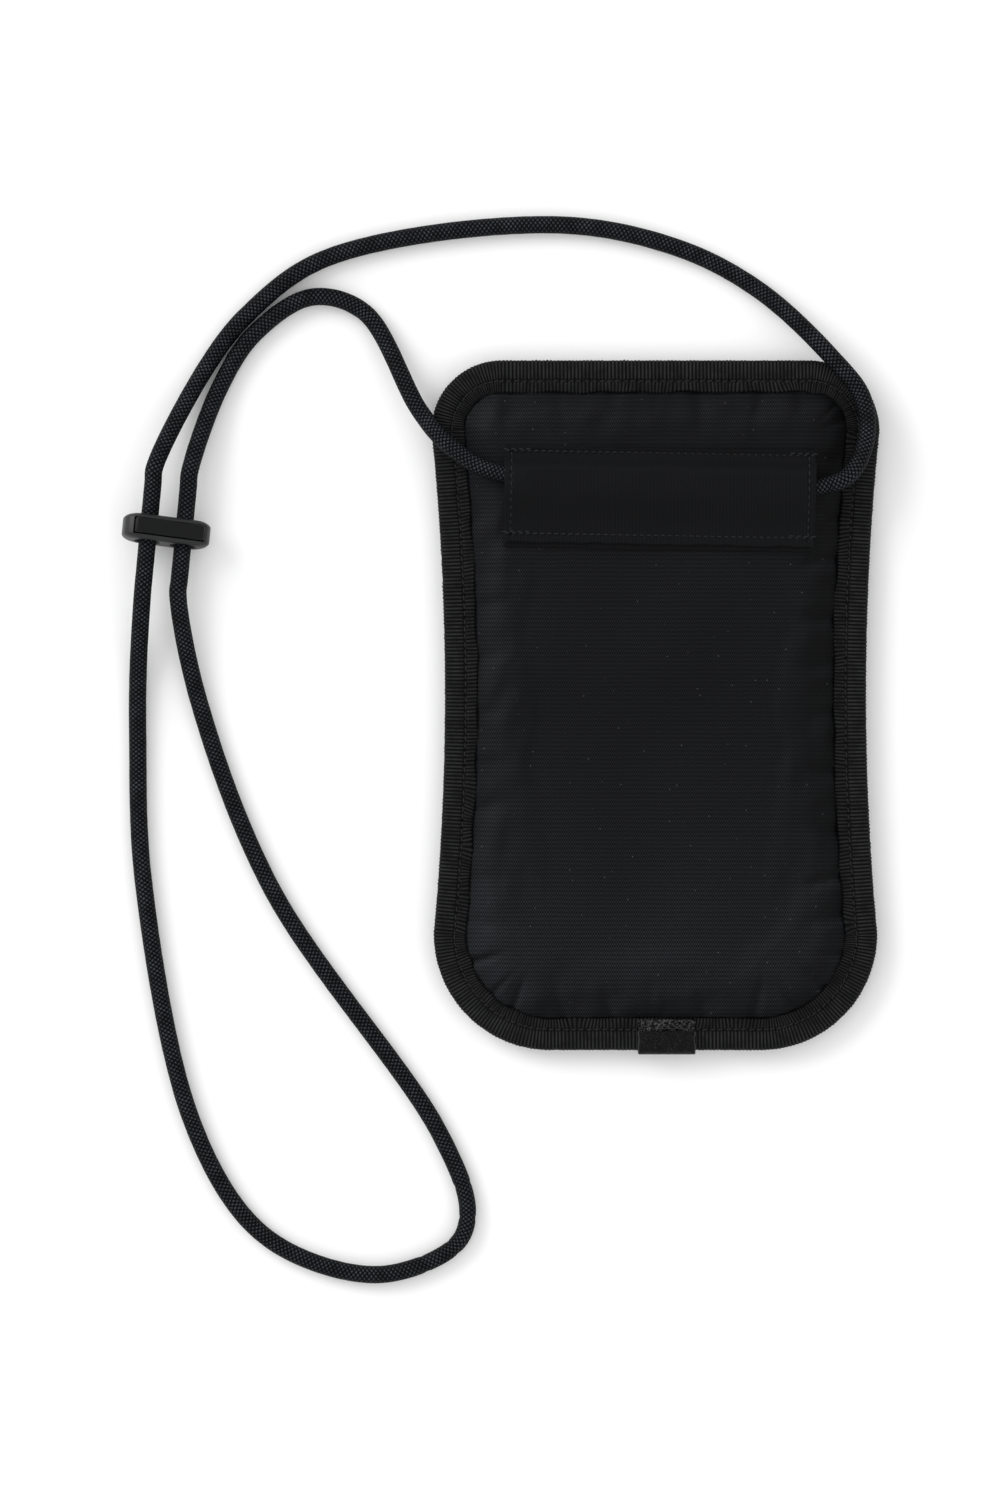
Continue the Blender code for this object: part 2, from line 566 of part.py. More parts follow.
def make_lock(parts, hidden, plastic, button_plastic, steel):
    """The cord lock: a body with two bores, a button that pinches the cord, and the button's spring."""
    axis = bpy.data.objects.new("cord_lock_axis", None)
    tilt = Matrix.Rotation(LOCK_ROLL, 4, "X") @ Matrix.Rotation(LOCK_PITCH, 4, "Y")
    turn = Matrix.Rotation(LOCK_YAW, 4, "Z") @ tilt
    axis.matrix_world = Matrix.Translation((LOCK_X, LOCK_Y, LOCK_Z)) @ turn
    parts.objects.link(axis)
    upright = (QUARTER_TURN, 0.0, 0.0)

    half = LOCK_LENGTH / 2
    outline = rounded_box(-half, -LOCK_BOTTOM, half, LOCK_TOP, LOCK_BOTTOM_RADIUS, LOCK_TOP_RADIUS)
    body = flat_plate("cord_lock_body", [outline], LOCK_DEPTH, parts, plastic)
    bevel = body.modifiers.new("rounding", "BEVEL")
    bevel.width = LOCK_ROUNDING
    bevel.segments = 2
    bevel.limit_method = "ANGLE"
    bevel.angle_limit = math.radians(60)
    body.rotation_euler = upright
    body.parent = axis
    shade_smooth(body)
    room = BUTTON_LENGTH / 2 + BUTTON_CLEARANCE
    depth = BUTTON_DEPTH / 2 + BUTTON_CLEARANCE
    floor = -LOCK_BOTTOM + LOCK_WALL
    cavity = box("lock_cavity", (-room, -depth, floor), (room, depth, LOCK_TOP + CAVITY_OVERCUT), hidden)
    cavity.parent = axis
    cut(body, cavity, hidden)
    for side in (-1, 1):
        bore = arc(side * BORE_SPACING / 2, 0.0, BORE_DIAMETER / 2, 0, 345, 23)
        drill = flat_plate("lock_bore_" + ("left" if side < 0 else "right"), [bore], 2 * LOCK_DEPTH, hidden)
        drill.rotation_euler = upright
        drill.parent = axis
        cut(body, drill, hidden)

    bottom = -CORD_DIAMETER / 2 - GAP - BUTTON_STRAP
    top = LOCK_TOP + BUTTON_PROUD
    half = BUTTON_LENGTH / 2
    outline = rounded_box(-half, bottom, half, top, BUTTON_LOW_RADIUS, BUTTON_TOP_RADIUS, steps=2)
    slots = []
    slack = CORD_DIAMETER / 2 + GAP
    low = -slack
    high = slack + BUTTON_TRAVEL
    for side in (-1, 1):
        x = side * BORE_SPACING / 2
        rounding = slack - SLOT_FLAT
        slots.append(rounded_box(x - slack, low, x + slack, high, rounding, rounding, steps=5))
    button = flat_plate("cord_lock_button", [outline, *slots], BUTTON_DEPTH, parts, button_plastic)
    button.rotation_euler = upright
    button.parent = axis
    shade_smooth(button)
    pocket = SPRING_DIAMETER / 2 + SPRING_CLEARANCE
    circle = arc(0.0, 0.0, pocket, 0, 330, 11)
    drill = flat_plate("spring_pocket", [circle], 2 * SPRING_POCKET, hidden)
    drill.location.z = bottom
    drill.parent = axis
    cut(button, drill, hidden)

    make_spring(parts, steel, axis, floor + GAP, bottom + SPRING_POCKET - GAP)


def make_spring(parts, steel, axis, low, high):
    """The coil spring between the lock body's floor and the button's pocket."""
    curve = bpy.data.curves.new("cord_lock_spring", "CURVE")
    curve.dimensions = "3D"
    curve.bevel_depth = SPRING_WIRE / 2
    curve.bevel_resolution = 1
    curve.use_fill_caps = True
    per_turn = 9
    count = SPRING_TURNS * per_turn + 1
    radius = (SPRING_DIAMETER - SPRING_WIRE) / 2
    start, end = low + SPRING_WIRE / 2, high - SPRING_WIRE / 2
    spline = curve.splines.new("POLY")
    spline.points.add(count - 1)
    for k, point in enumerate(spline.points):
        angle = 2 * math.pi * k / per_turn
        height = start + (end - start) * k / (count - 1)
        point.co = (radius * math.cos(angle), radius * math.sin(angle), height, 1.0)
    spring = bpy.data.objects.new("cord_lock_spring", curve)
    curve.materials.append(steel)
    parts.objects.link(spring)
    spring.parent = axis


def make_tab(parts, leather):
    """The leather tab folded over the bottom of the binding."""
    edge = -POUCH_LENGTH / 2
    inner_wall, outer_wall = edge - GAP, edge - GAP - TAB_THICKNESS
    inner_top, inner_bottom = BINDING_TOP + GAP, BINDING_BOTTOM - GAP
    outer_top, outer_bottom = inner_top + TAB_THICKNESS, inner_bottom - TAB_THICKNESS
    end = edge + TAB_REACH
    bend = TAB_FOLD_RADIUS
    section = (
        [(end, inner_top), (end, outer_top)]
        + arc(outer_wall + bend, outer_top - bend, bend, 90, 180, 4)
        + arc(outer_wall + bend, outer_bottom + bend, bend, 180, 270, 4)
        + [(end, outer_bottom), (end, inner_bottom), (inner_wall, inner_bottom), (inner_wall, inner_top)]
    )
    tab = flat_plate("leather_tab", [section], TAB_WIDTH, parts, leather)
    tab.matrix_world = Matrix.Translation((TAB_X, 0.0, 0.0)) @ ACROSS
    shade_smooth(tab)


def main():
    """Build the pouch, its zip, the cord and its lock, and the tab."""
    clear_scene()
    parts = make_collection("neck_pouch_wallet")
    hidden = make_collection("cutters")
    cloth = make_material("twill", (0.012, 0.012, 0.014), 0.75)
    foam = make_material("foam", (0.10, 0.10, 0.11), 0.95)
    lining = make_material("lining", (0.03, 0.03, 0.035), 0.6)
    grosgrain = make_material("grosgrain", (0.012, 0.012, 0.013), 0.8)
    tape = make_material("zip_tape", (0.012, 0.012, 0.013), 0.8)
    coil = make_material("zip_coil", (0.02, 0.02, 0.02), 0.4)
    metal = make_material("zip_metal", (0.05, 0.05, 0.055), 0.35, 1.0)
    braid = make_material("braided_cord", (0.018, 0.018, 0.022), 0.7)
    plastic = make_material("lock_plastic", (0.03, 0.03, 0.035), 0.4)
    button_plastic = make_material("button_plastic", (0.02, 0.02, 0.023), 0.4)
    steel = make_material("spring_steel", (0.55, 0.55, 0.56), 0.3, 1.0)
    leather = make_material("leather", (0.012, 0.012, 0.012), 0.35)
    make_pouch(parts, cloth, foam, lining, grosgrain)
    make_zip(parts, hidden, tape, coil, metal)
    make_tunnel(parts, cloth)
    make_cord(parts, braid)
    make_lock(parts, hidden, plastic, button_plastic, steel)
    make_tab(parts, leather)
    bpy.context.view_layer.update()


main()
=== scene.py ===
"""Looks of a neck pouch wallet: woven panels, ribbed binding, sewn cord tunnel, braided cord, lock and tab.

Metres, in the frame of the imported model: the pouch lies on its zipped front, +Y is its top, +Z is up.
"""

import sys
import logging
import math
from dataclasses import dataclass
from enum import Enum
from typing import Any, Sequence

import bmesh
import bpy
import numpy as np
from mathutils import Matrix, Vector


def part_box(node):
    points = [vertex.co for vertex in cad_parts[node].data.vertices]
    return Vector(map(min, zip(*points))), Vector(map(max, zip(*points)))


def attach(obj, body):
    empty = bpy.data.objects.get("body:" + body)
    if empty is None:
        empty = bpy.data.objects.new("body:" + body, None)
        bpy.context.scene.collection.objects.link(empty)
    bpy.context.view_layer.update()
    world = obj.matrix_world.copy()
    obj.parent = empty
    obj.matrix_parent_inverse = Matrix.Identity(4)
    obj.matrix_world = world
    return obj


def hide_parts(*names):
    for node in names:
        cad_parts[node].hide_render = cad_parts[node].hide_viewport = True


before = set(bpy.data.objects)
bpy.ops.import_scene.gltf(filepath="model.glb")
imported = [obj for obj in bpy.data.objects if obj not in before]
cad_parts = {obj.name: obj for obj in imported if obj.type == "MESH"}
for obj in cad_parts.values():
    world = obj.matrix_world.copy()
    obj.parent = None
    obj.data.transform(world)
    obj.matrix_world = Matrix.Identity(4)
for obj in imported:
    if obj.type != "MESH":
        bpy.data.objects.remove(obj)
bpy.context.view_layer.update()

MM = 0.001
TAU = 2 * math.pi
SMOOTH_ANGLE = math.radians(38)
CLOTH_SHINE = 0.06
YARN_SHINE = 0.12
Array = np.ndarray
log = logging.getLogger("neck_pouch")


# --- Waves and profiles -------------------------------------------------------------------------------
def wander(along: Array, length: float, waves: int, seed: int) -> Array:
    """A random wave that closes on itself: sines with 1 to `waves` turns over a length, seeded.

    Args:
        along: places along the line.
        length: the line's whole length.
        waves: the most turns that a sine makes over the length.
        seed: start of the random phases and sizes.

    Returns:
        Values mostly between -1 and 1.
    """
    random = np.random.default_rng(seed)
    turns = np.arange(1, waves + 1)
    phase = random.uniform(0, TAU, waves)
    size = random.uniform(0.4, 1.0, waves)
    wave = np.cos(TAU * turns * np.asarray(along)[..., None] / length + phase) @ size
    return wave / (1.5 * math.sqrt((size**2).sum() / 2))


def ripple(x: Array, y: Array, scale: float, seed: int, waves: int = 14) -> Array:
    """Random ripples on a plane: a sum of plane waves about `scale` long, with seeded headings.

    Args:
        x: places across.
        y: places up.
        scale: the usual wave length.
        seed: start of the random headings, lengths and phases.
        waves: how many waves are added.

    Returns:
        Values mostly between -1 and 1.
    """
    random = np.random.default_rng(seed)
    heading = random.uniform(0, TAU, waves)
    number = TAU / scale * random.uniform(0.6, 1.4, waves)
    phase = random.uniform(0, TAU, waves)
    travel = np.cos(heading) * x[..., None] + np.sin(heading) * y[..., None]
    return np.cos(number * travel + phase).sum(-1) / (1.5 * math.sqrt(waves / 2))


def bell(distance: Array, width: float) -> Array:
    """A bell curve: 1 at no distance, and about a third at its width."""
    return np.exp(-((distance / width) ** 2))


def rise(value: Array, start: float, end: float) -> Array:
    """A smooth step from 0 at start to 1 at end: three times the square less twice the cube."""
    share = np.clip((value - start) / (end - start), 0, 1)
    return share * share * (3 - 2 * share)


def arc(middle: tuple[float, float], radius: float, start: float, end: float, steps: int) -> Array:
    """Points on an arc about a middle, from one angle to another in degrees, both ends included."""
    angle = np.radians(np.linspace(start, end, steps + 1))
    return np.stack([middle[0] + radius * np.cos(angle), middle[1] + radius * np.sin(angle)], 1)


def unit(vectors: Array) -> Array:
    """Vectors brought to length 1."""
    return vectors / np.linalg.norm(vectors, axis=-1, keepdims=True)


def leftward(along: Array) -> Array:
    """Unit directions on a plane, square to others and on their left."""
    return unit(np.stack([-along[:, 1], along[:, 0]], 1))


def resample(line: Array, count: int, closed: bool = False) -> tuple[Array, float]:
    """Points evenly spaced along a line, by linear reading of its travelled length.

    Args:
        line: points in order.
        count: how many points come back.
        closed: whether the line returns to its first point.

    Returns:
        The points and the line's length.
    """
    if closed:
        line = np.vstack([line, line[:1]])
    travelled = np.concatenate([[0.0], np.cumsum(np.linalg.norm(np.diff(line, axis=0), axis=1))])
    places = np.linspace(0, travelled[-1], count, endpoint=not closed)
    points = np.stack([np.interp(places, travelled, line[:, k]) for k in range(line.shape[1])], 1)
    return points, float(travelled[-1])


def catmull_rom(control: Array, steps: int = 16) -> Array:
    """A centripetal Catmull-Rom curve through points, worked out by blending straight lines three times.

    Args:
        control: the points that the curve goes through.
        steps: points on each stretch.

    Returns:
        Dense points on the curve.
    """
    nodes = np.vstack([2 * control[0] - control[1], control, 2 * control[-1] - control[-2]])
    quads = np.stack([nodes[k : len(nodes) - 3 + k] for k in range(4)], 1)
    spans = np.sqrt(np.linalg.norm(np.diff(quads, axis=1), axis=2))
    knots = np.concatenate([np.zeros((len(quads), 1)), np.cumsum(spans, 1)], 1)[:, :, None, None]
    share = (np.arange(steps) / steps)[None, :, None]
    at = knots[:, 1] + (knots[:, 2] - knots[:, 1]) * share
    level = [quads[:, k, None, :] for k in range(4)]
    for pairs in (((0, 1), (1, 2), (2, 3)), ((0, 2), (1, 3)), ((1, 2),)):
        blended = []
        for k, (low, high) in enumerate(pairs):
            weight = (at - knots[:, low]) / (knots[:, high] - knots[:, low])
            blended.append(level[k] * (1 - weight) + level[k + 1] * weight)
        level = blended
    return np.vstack([level[0].reshape(-1, 3), control[-1:]])


# --- Meshes -------------------------------------------------------------------------------------------
def grid_faces(rows: int, cols: int, wrap_rows: bool = False, wrap_cols: bool = False) -> Array:
    """Corner numbers of the four-sided faces of a grid of points.

    Args:
        rows: points in the first direction.
        cols: points in the second direction.
        wrap_rows: whether the last row meets the first.
        wrap_cols: whether the last column meets the first.

    Returns:
        One row of four corner numbers for each face.
    """
    row, col = np.meshgrid(
        np.arange(rows if wrap_rows else rows - 1), np.arange(cols if wrap_cols else cols - 1), indexing="ij"
    )
    below, beside = (row + 1) % rows, (col + 1) % cols
    corners = [row * cols + col, row * cols + beside, below * cols + beside, below * cols + col]
    return np.stack(corners, -1).reshape(-1, 4)


def end_caps(rings: int, sides: int) -> tuple[Array, Array]:
    """Corner numbers of the two faces that close a tube at its first and last ring."""
    return np.arange(sides)[::-1], (rings - 1) * sides + np.arange(sides)


def add(name: str, data: bpy.types.ID) -> bpy.types.Object:
    """A new object in the scene, at the origin."""
    obj = bpy.data.objects.new(name, data)
    bpy.context.scene.collection.objects.link(obj)
    return obj


def piece(
    name: str,
    points: Array,
    faces: Array,
    caps: Sequence[Array] = (),
    marks: dict[str, Array] | None = None,
    closed: bool = True,
    flat_angle: float | None = SMOOTH_ANGLE,
) -> bpy.types.Object:
    """A mesh object from arrays, at the origin, with smooth shading.

    Args:
        name: the piece's name.
        points: places of its vertices, in any grid shape with three numbers last.
        faces: corner numbers of its faces.
        caps: further faces with any number of corners.
        marks: named numbers or vectors kept at each vertex for the material.
        closed: whether the surface is closed, so that its normals are turned outwards.
        flat_angle: edges sharper than this stay sharp.

    Returns:
        The new object.
    """
    mesh = bpy.data.meshes.new(name)
    corners = faces.tolist() + [list(map(int, cap)) for cap in caps]
    mesh.from_pydata(points.reshape(-1, 3).tolist(), [], corners)
    if closed:
        shell = bmesh.new()
        shell.from_mesh(mesh)
        bmesh.ops.recalc_face_normals(shell, faces=shell.faces)
        shell.to_mesh(mesh)
        shell.free()
    for word, values in (marks or {}).items():
        vector = values.shape[-1] == 3 and values.size == points.size
        attribute = mesh.attributes.new(word, "FLOAT_VECTOR" if vector else "FLOAT", "POINT")
        attribute.data.foreach_set("vector" if vector else "value", values.astype(np.float32).ravel())
    mesh.shade_smooth()
    if flat_angle is not None:
        mesh.set_sharp_from_angle(angle=flat_angle)
    mesh.update()
    return add(name, mesh)


def painted_slope_light(x: Array, y: Array, relief: Array, shape: Array) -> Array:
    """Painted light and shade at each point of a grid, from -0.5 to 0.8: how far the cloth tilts to the
    upper left, where the light comes from: the slope of its relief plus a fifth of its shape's slope, from
    the differences between neighbours."""
    height = 2.4 * relief + 0.45 * shape
    across = np.gradient(height, axis=1) / np.gradient(x, axis=1)
    up = np.gradient(height, axis=0) / np.gradient(y, axis=0)
    return np.clip(0.75 * across - 0.65 * up, -0.5, 0.8)


def tube(
    name: str, path: Array, radius: Array, sides: int, marks: dict[str, Array] | None = None
) -> bpy.types.Object:
    """A round section carried along a path: each ring is the path's point plus radius times
    (cosine times sideways plus sine times upwards), with sideways level and both square to the path.

    Args:
        name: the piece's name.
        path: points along the middle.
        radius: radius at each ring, or at each ring and side.
        sides: points round the section.
        marks: named numbers kept at each vertex.

    Returns:
        The closed tube.
    """
    heading = unit(np.gradient(path, axis=0))
    sideways = unit(np.cross(heading, [0.0, 0.0, 1.0]))
    upwards = np.cross(sideways, heading)
    angle = TAU * np.arange(sides) / sides
    cosine, sine = np.cos(angle)[None, :, None], np.sin(angle)[None, :, None]
    ring = cosine * sideways[:, None] + sine * upwards[:, None]
    radius = np.asarray(radius)
    if radius.ndim < 2:
        radius = np.broadcast_to(radius.reshape(-1, 1), (len(path), sides))
    points = path[:, None] + ring * radius[:, :, None]
    caps = end_caps(len(path), sides)
    return piece(name, points, grid_faces(len(path), sides, wrap_cols=True), caps, marks)


def stitches(
    name: str, places: Array, forward: Array, length: float, thread: float, slant: float = 0.0
) -> bpy.types.Object:
    """Sewn thread: one short arched tube at each place, thick in its middle and sunk at both ends.
    Along a stitch, its height falls with the square of the distance from its middle.

    Args:
        name: the piece's name.
        places: middle of each stitch on the cloth.
        forward: direction of the seam at each stitch.
        length: a stitch's length.
        thread: the thread's diameter.
        slant: angle of each stitch to the seam, in degrees.

    Returns:
        One object that holds all stitches of the seam.
    """
    rings, sides = 7, 6
    share = np.linspace(-1, 1, rings)
    girth = thread / 2 * np.sqrt(np.clip(1.02 - share**6, 0.05, 1))
    angle = TAU * np.arange(sides) / sides
    upward = np.tile([0.0, 0.0, 1.0], (len(places), 1))
    forward = unit(forward)
    sideways = np.cross(upward, forward)
    turn = math.radians(slant)
    forward, sideways = (
        forward * math.cos(turn) + sideways * math.sin(turn),
        sideways * math.cos(turn) - forward * math.sin(turn),
    )
    travel = np.broadcast_to((share * length / 2)[:, None], (rings, sides))
    across = girth[:, None] * np.cos(angle)
    height = girth[:, None] * np.sin(angle) + (thread * 0.45 * (1 - 1.9 * share**2))[:, None]
    local = np.stack([travel, across, height], -1)
    axes = np.stack([forward, sideways, upward], 1)
    points = places[:, None, None] + np.einsum("rsk,nkd->nrsd", local, axes)
    one = grid_faces(rings, sides, wrap_cols=True)
    starts = np.arange(len(places)) * rings * sides
    faces = (one[None] + starts[:, None, None]).reshape(-1, 4)
    caps = [start + end for start in starts for end in end_caps(rings, sides)]
    return piece(name, points, faces, caps)


def slab(
    name: str, outline: Array, depth: float, rounding: float, rings: int = 5, ends: float = 0.0
) -> bpy.types.Object:
    """An outline in x and z carried through a depth along y, with its edges rounded: towards each end the
    outline moves inwards by rounding times (1 less the sine), while the depth grows with the cosine's rest.

    Args:
        name: the piece's name.
        outline: closed line of (x, z) points, counter-clockwise.
        depth: whole depth.
        rounding: radius of the rounded edges.
        rings: rings on each rounded edge.
        ends: how much further the left and right ends draw in, as a share of the rounding.

    Returns:
        The closed solid, about the origin.
    """
    inward = leftward(np.roll(outline, -1, 0) - np.roll(outline, 1, 0))
    angle = np.linspace(0, math.pi / 2, rings)
    inset = rounding * (1 - np.sin(angle))
    place = -depth / 2 + rounding * (1 - np.cos(angle))
    inset, place = np.concatenate([inset, inset[::-1]]), np.concatenate([place, -place[::-1]])
    flat = outline[None] + inset[:, None, None] * inward[None]
    flat[..., 0] *= 1 - inset[:, None] * ends / np.abs(outline[:, 0]).max()
    points = np.stack([flat[..., 0], np.broadcast_to(place[:, None], flat.shape[:2]), flat[..., 1]], -1)
    size = (len(place), len(outline))
    return piece(name, points, grid_faces(*size, wrap_cols=True), end_caps(*size))


def rounded_outline(low: tuple[float, float], high: tuple[float, float], radii: tuple[float, float]) -> Array:
    """A rectangle between two corners with one radius at its lower corners and another at its upper ones."""
    (left, bottom), (right, top), (under, over) = low, high, radii
    corners = (
        (right - under, bottom + under, under), (right - over, top - over, over),
        (left + over, top - over, over), (left + under, bottom + under, under),
    )
    turns = ((-90, 0), (0, 90), (90, 180), (180, 270))
    return np.vstack([arc((x, z), radius, *turn, 12) for (x, z, radius), turn in zip(corners, turns)])


def carve(obj: bpy.types.Object, cutters: Sequence[bpy.types.Object]) -> None:
    """Cut a solid with others, which are then deleted."""
    for cutter in cutters:
        boolean = obj.modifiers.new("carve", "BOOLEAN")
        boolean.operation = "DIFFERENCE"
        boolean.solver = "EXACT"
        boolean.object = cutter
    bpy.context.view_layer.update()
    carved = bpy.data.meshes.new_from_object(obj.evaluated_get(bpy.context.evaluated_depsgraph_get()))
    obj.modifiers.clear()
    obj.data = carved
    obj.data.shade_smooth()
    obj.data.set_sharp_from_angle(angle=SMOOTH_ANGLE)
    for cutter in cutters:
        bpy.data.objects.remove(cutter, do_unlink=True)


def softened(node: str, name: str, width: float) -> bpy.types.Object:
    """A copy of a CAD node as one welded mesh with rounded edges.

    Args:
        node: the CAD node that is copied.
        name: the new piece's name.
        width: width of the rounding.

    Returns:
        The new object, in the node's place.
    """
    solid = bmesh.new()
    solid.from_mesh(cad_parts[node].data)
    bmesh.ops.remove_doubles(solid, verts=solid.verts, dist=1e-6)
    bmesh.ops.dissolve_limit(
        solid, angle_limit=math.radians(2), verts=solid.verts, edges=solid.edges, delimit=set()
    )
    mesh = bpy.data.meshes.new(name)
    solid.to_mesh(mesh)
    solid.free()
    mesh.materials.clear()
    mesh.shade_smooth()
    obj = add(name, mesh)
    bevel = obj.modifiers.new("rounded_edges", "BEVEL")
    bevel.width = width
    bevel.segments = 3
    bevel.limit_method = "ANGLE"
    bevel.angle_limit = math.radians(30)
    bevel.harden_normals = True
    return obj


# --- Shaders ------------------------------------------------------------------------------------------
class Reading:
    """A number that varies over a surface, with arithmetic that adds the shader's own maths."""

    def __init__(self, paint: "Paint", socket: bpy.types.NodeSocket) -> None:
        """Keep the socket and the shader that it belongs to."""
        self.paint = paint
        self.socket = socket

    def __add__(self, other: "Reading | float") -> "Reading":
        """Sum."""
        return self.paint.maths("ADD", self, other)

    __radd__ = __add__

    def __sub__(self, other: "Reading | float") -> "Reading":
        """Difference."""
        return self.paint.maths("SUBTRACT", self, other)

    def __rsub__(self, other: "Reading | float") -> "Reading":
        """Difference from a number."""
        return self.paint.maths("SUBTRACT", other, self)

    def __mul__(self, other: "Reading | float") -> "Reading":
        """Product."""
        return self.paint.maths("MULTIPLY", self, other)

    __rmul__ = __mul__

    def __truediv__(self, other: "Reading | float") -> "Reading":
        """Quotient."""
        return self.paint.maths("DIVIDE", self, other)

    def __pow__(self, other: "Reading | float") -> "Reading":
        """Power."""
        return self.paint.maths("POWER", self, other)

    def cosine(self) -> "Reading":
        """Cosine of the value in radians."""
        return self.paint.maths("COSINE", self)

    def whole(self) -> "Reading":
        """The next whole number below."""
        return self.paint.maths("FLOOR", self)

    def size(self) -> "Reading":
        """The value without its sign."""
        return self.paint.maths("ABSOLUTE", self)

    def step(self, start: float, end: float) -> "Reading":
        """A smooth step from 0 at start to 1 at end."""
        node = self.paint.node(
            "ShaderNodeMapRange",
            {"interpolation_type": "SMOOTHSTEP"},
            {"Value": self, "From Min": start, "From Max": end},
        )
        return Reading(self.paint, node.outputs["Result"])


class Paint:
    """One material under construction."""

    def __init__(self, name: str) -> None:
        """Start a material with a bare Principled shader."""
        self.material = bpy.data.materials.new(name)
        self.material.use_nodes = True
        self.tree = self.material.node_tree
        self.shader = self.tree.nodes["Principled BSDF"]

    def node(self, kind: str, settings: dict[str, Any], inputs: dict[Any, Any]) -> bpy.types.Node:
        """Add a node.

        Args:
            kind: Blender's name of the node's type.
            settings: properties that are set before the sockets.
            inputs: a value or a link for each socket, by name or number.

        Returns:
            The new node.
        """
        node = self.tree.nodes.new(kind)
        for word, setting in settings.items():
            setattr(node, word, setting)
        for word, value in inputs.items():
            self.feed(node.inputs[word], value)
        return node

    def feed(self, socket: bpy.types.NodeSocket, value: Any) -> None:
        """Link a reading or a socket to a socket, or set its value."""
        if isinstance(value, Reading):
            value = value.socket
        if isinstance(value, bpy.types.NodeSocket):
            self.tree.links.new(value, socket)
        else:
            socket.default_value = value

    def maths(self, operation: str, *values: "Reading | float") -> Reading:
        """One Math node on readings and numbers."""
        node = self.node("ShaderNodeMath", {"operation": operation}, dict(enumerate(values)))
        return Reading(self, node.outputs[0])

    def place(self) -> bpy.types.NodeSocket:
        """The point's place on the object."""
        return self.node("ShaderNodeTexCoord", {}, {}).outputs["Object"]

    def mark(self, word: str) -> bpy.types.Node:
        """The node that reads a named attribute of the mesh."""
        return self.node("ShaderNodeAttribute", {"attribute_name": word}, {})

    def split(self, vector: bpy.types.NodeSocket) -> list[Reading]:
        """The three numbers of a vector."""
        node = self.node("ShaderNodeSeparateXYZ", {}, {0: vector})
        return [Reading(self, socket) for socket in node.outputs]

    def stretch(
        self, vector: bpy.types.NodeSocket, scale: Sequence[float], turn: float = 0.0
    ) -> bpy.types.NodeSocket:
        """A vector turned about Z and then scaled on each axis."""
        inputs = {"Vector": vector, "Angle": turn}
        turned = self.node("ShaderNodeVectorRotate", {"rotation_type": "Z_AXIS"}, inputs)
        node = self.node("ShaderNodeVectorMath", {"operation": "MULTIPLY"}, {0: turned.outputs[0], 1: scale})
        return node.outputs[0]

    def noise(
        self, vector: bpy.types.NodeSocket, scale: float, detail: float = 2.0, rough: float = 0.5
    ) -> Reading:
        """Smooth noise between 0 and 1."""
        inputs = {"Vector": vector, "Scale": scale, "Detail": detail, "Roughness": rough}
        return Reading(self, self.node("ShaderNodeTexNoise", {}, inputs).outputs[0])

    def cells(
        self, vector: bpy.types.NodeSocket, scale: float, feature: str = "F1", flat: bool = False
    ) -> tuple[Reading, Reading]:
        """Distance to the nearest of scattered points, and a random number for each point's cell."""
        settings = {"feature": feature, "voronoi_dimensions": "2D" if flat else "3D"}
        node = self.node("ShaderNodeTexVoronoi", settings, {"Vector": vector, "Scale": scale})
        distance = Reading(self, node.outputs["Distance"])
        if feature == "DISTANCE_TO_EDGE":
            return distance, distance
        return distance, self.split(node.outputs["Color"])[0]

    def blend(self, factor: Reading, low: Any, high: Any) -> bpy.types.NodeSocket:
        """A colour between two others."""
        node = self.node("ShaderNodeMix", {"data_type": "RGBA"}, {0: factor, 6: low, 7: high})
        return node.outputs[2]

    def bump(self, height: Reading, distance: float, strength: float = 1.0) -> None:
        """Feed the normal from a height that varies between 0 and 1."""
        node = self.node("ShaderNodeBump", {}, {"Height": height, "Distance": distance, "Strength": strength})
        self.feed(self.shader.inputs["Normal"], node.outputs[0])

    def finish(self, **sockets: Any) -> bpy.types.Material:
        """Set the shader's sockets, with _ for a space in each name, and return the material."""
        for word, value in sockets.items():
            self.feed(self.shader.inputs[word.replace("_", " ")], value)
        return self.material


def grey(value: float, blue: float = 0.0) -> tuple[float, float, float, float]:
    """A grey with a little more blue in it."""
    return (value, value * (1 + blue / 3), value * (1 + blue), 1.0)


class Lay(Enum):
    """Which way a woven panel's ribs run."""

    ACROSS = 0
    UPRIGHT = 1


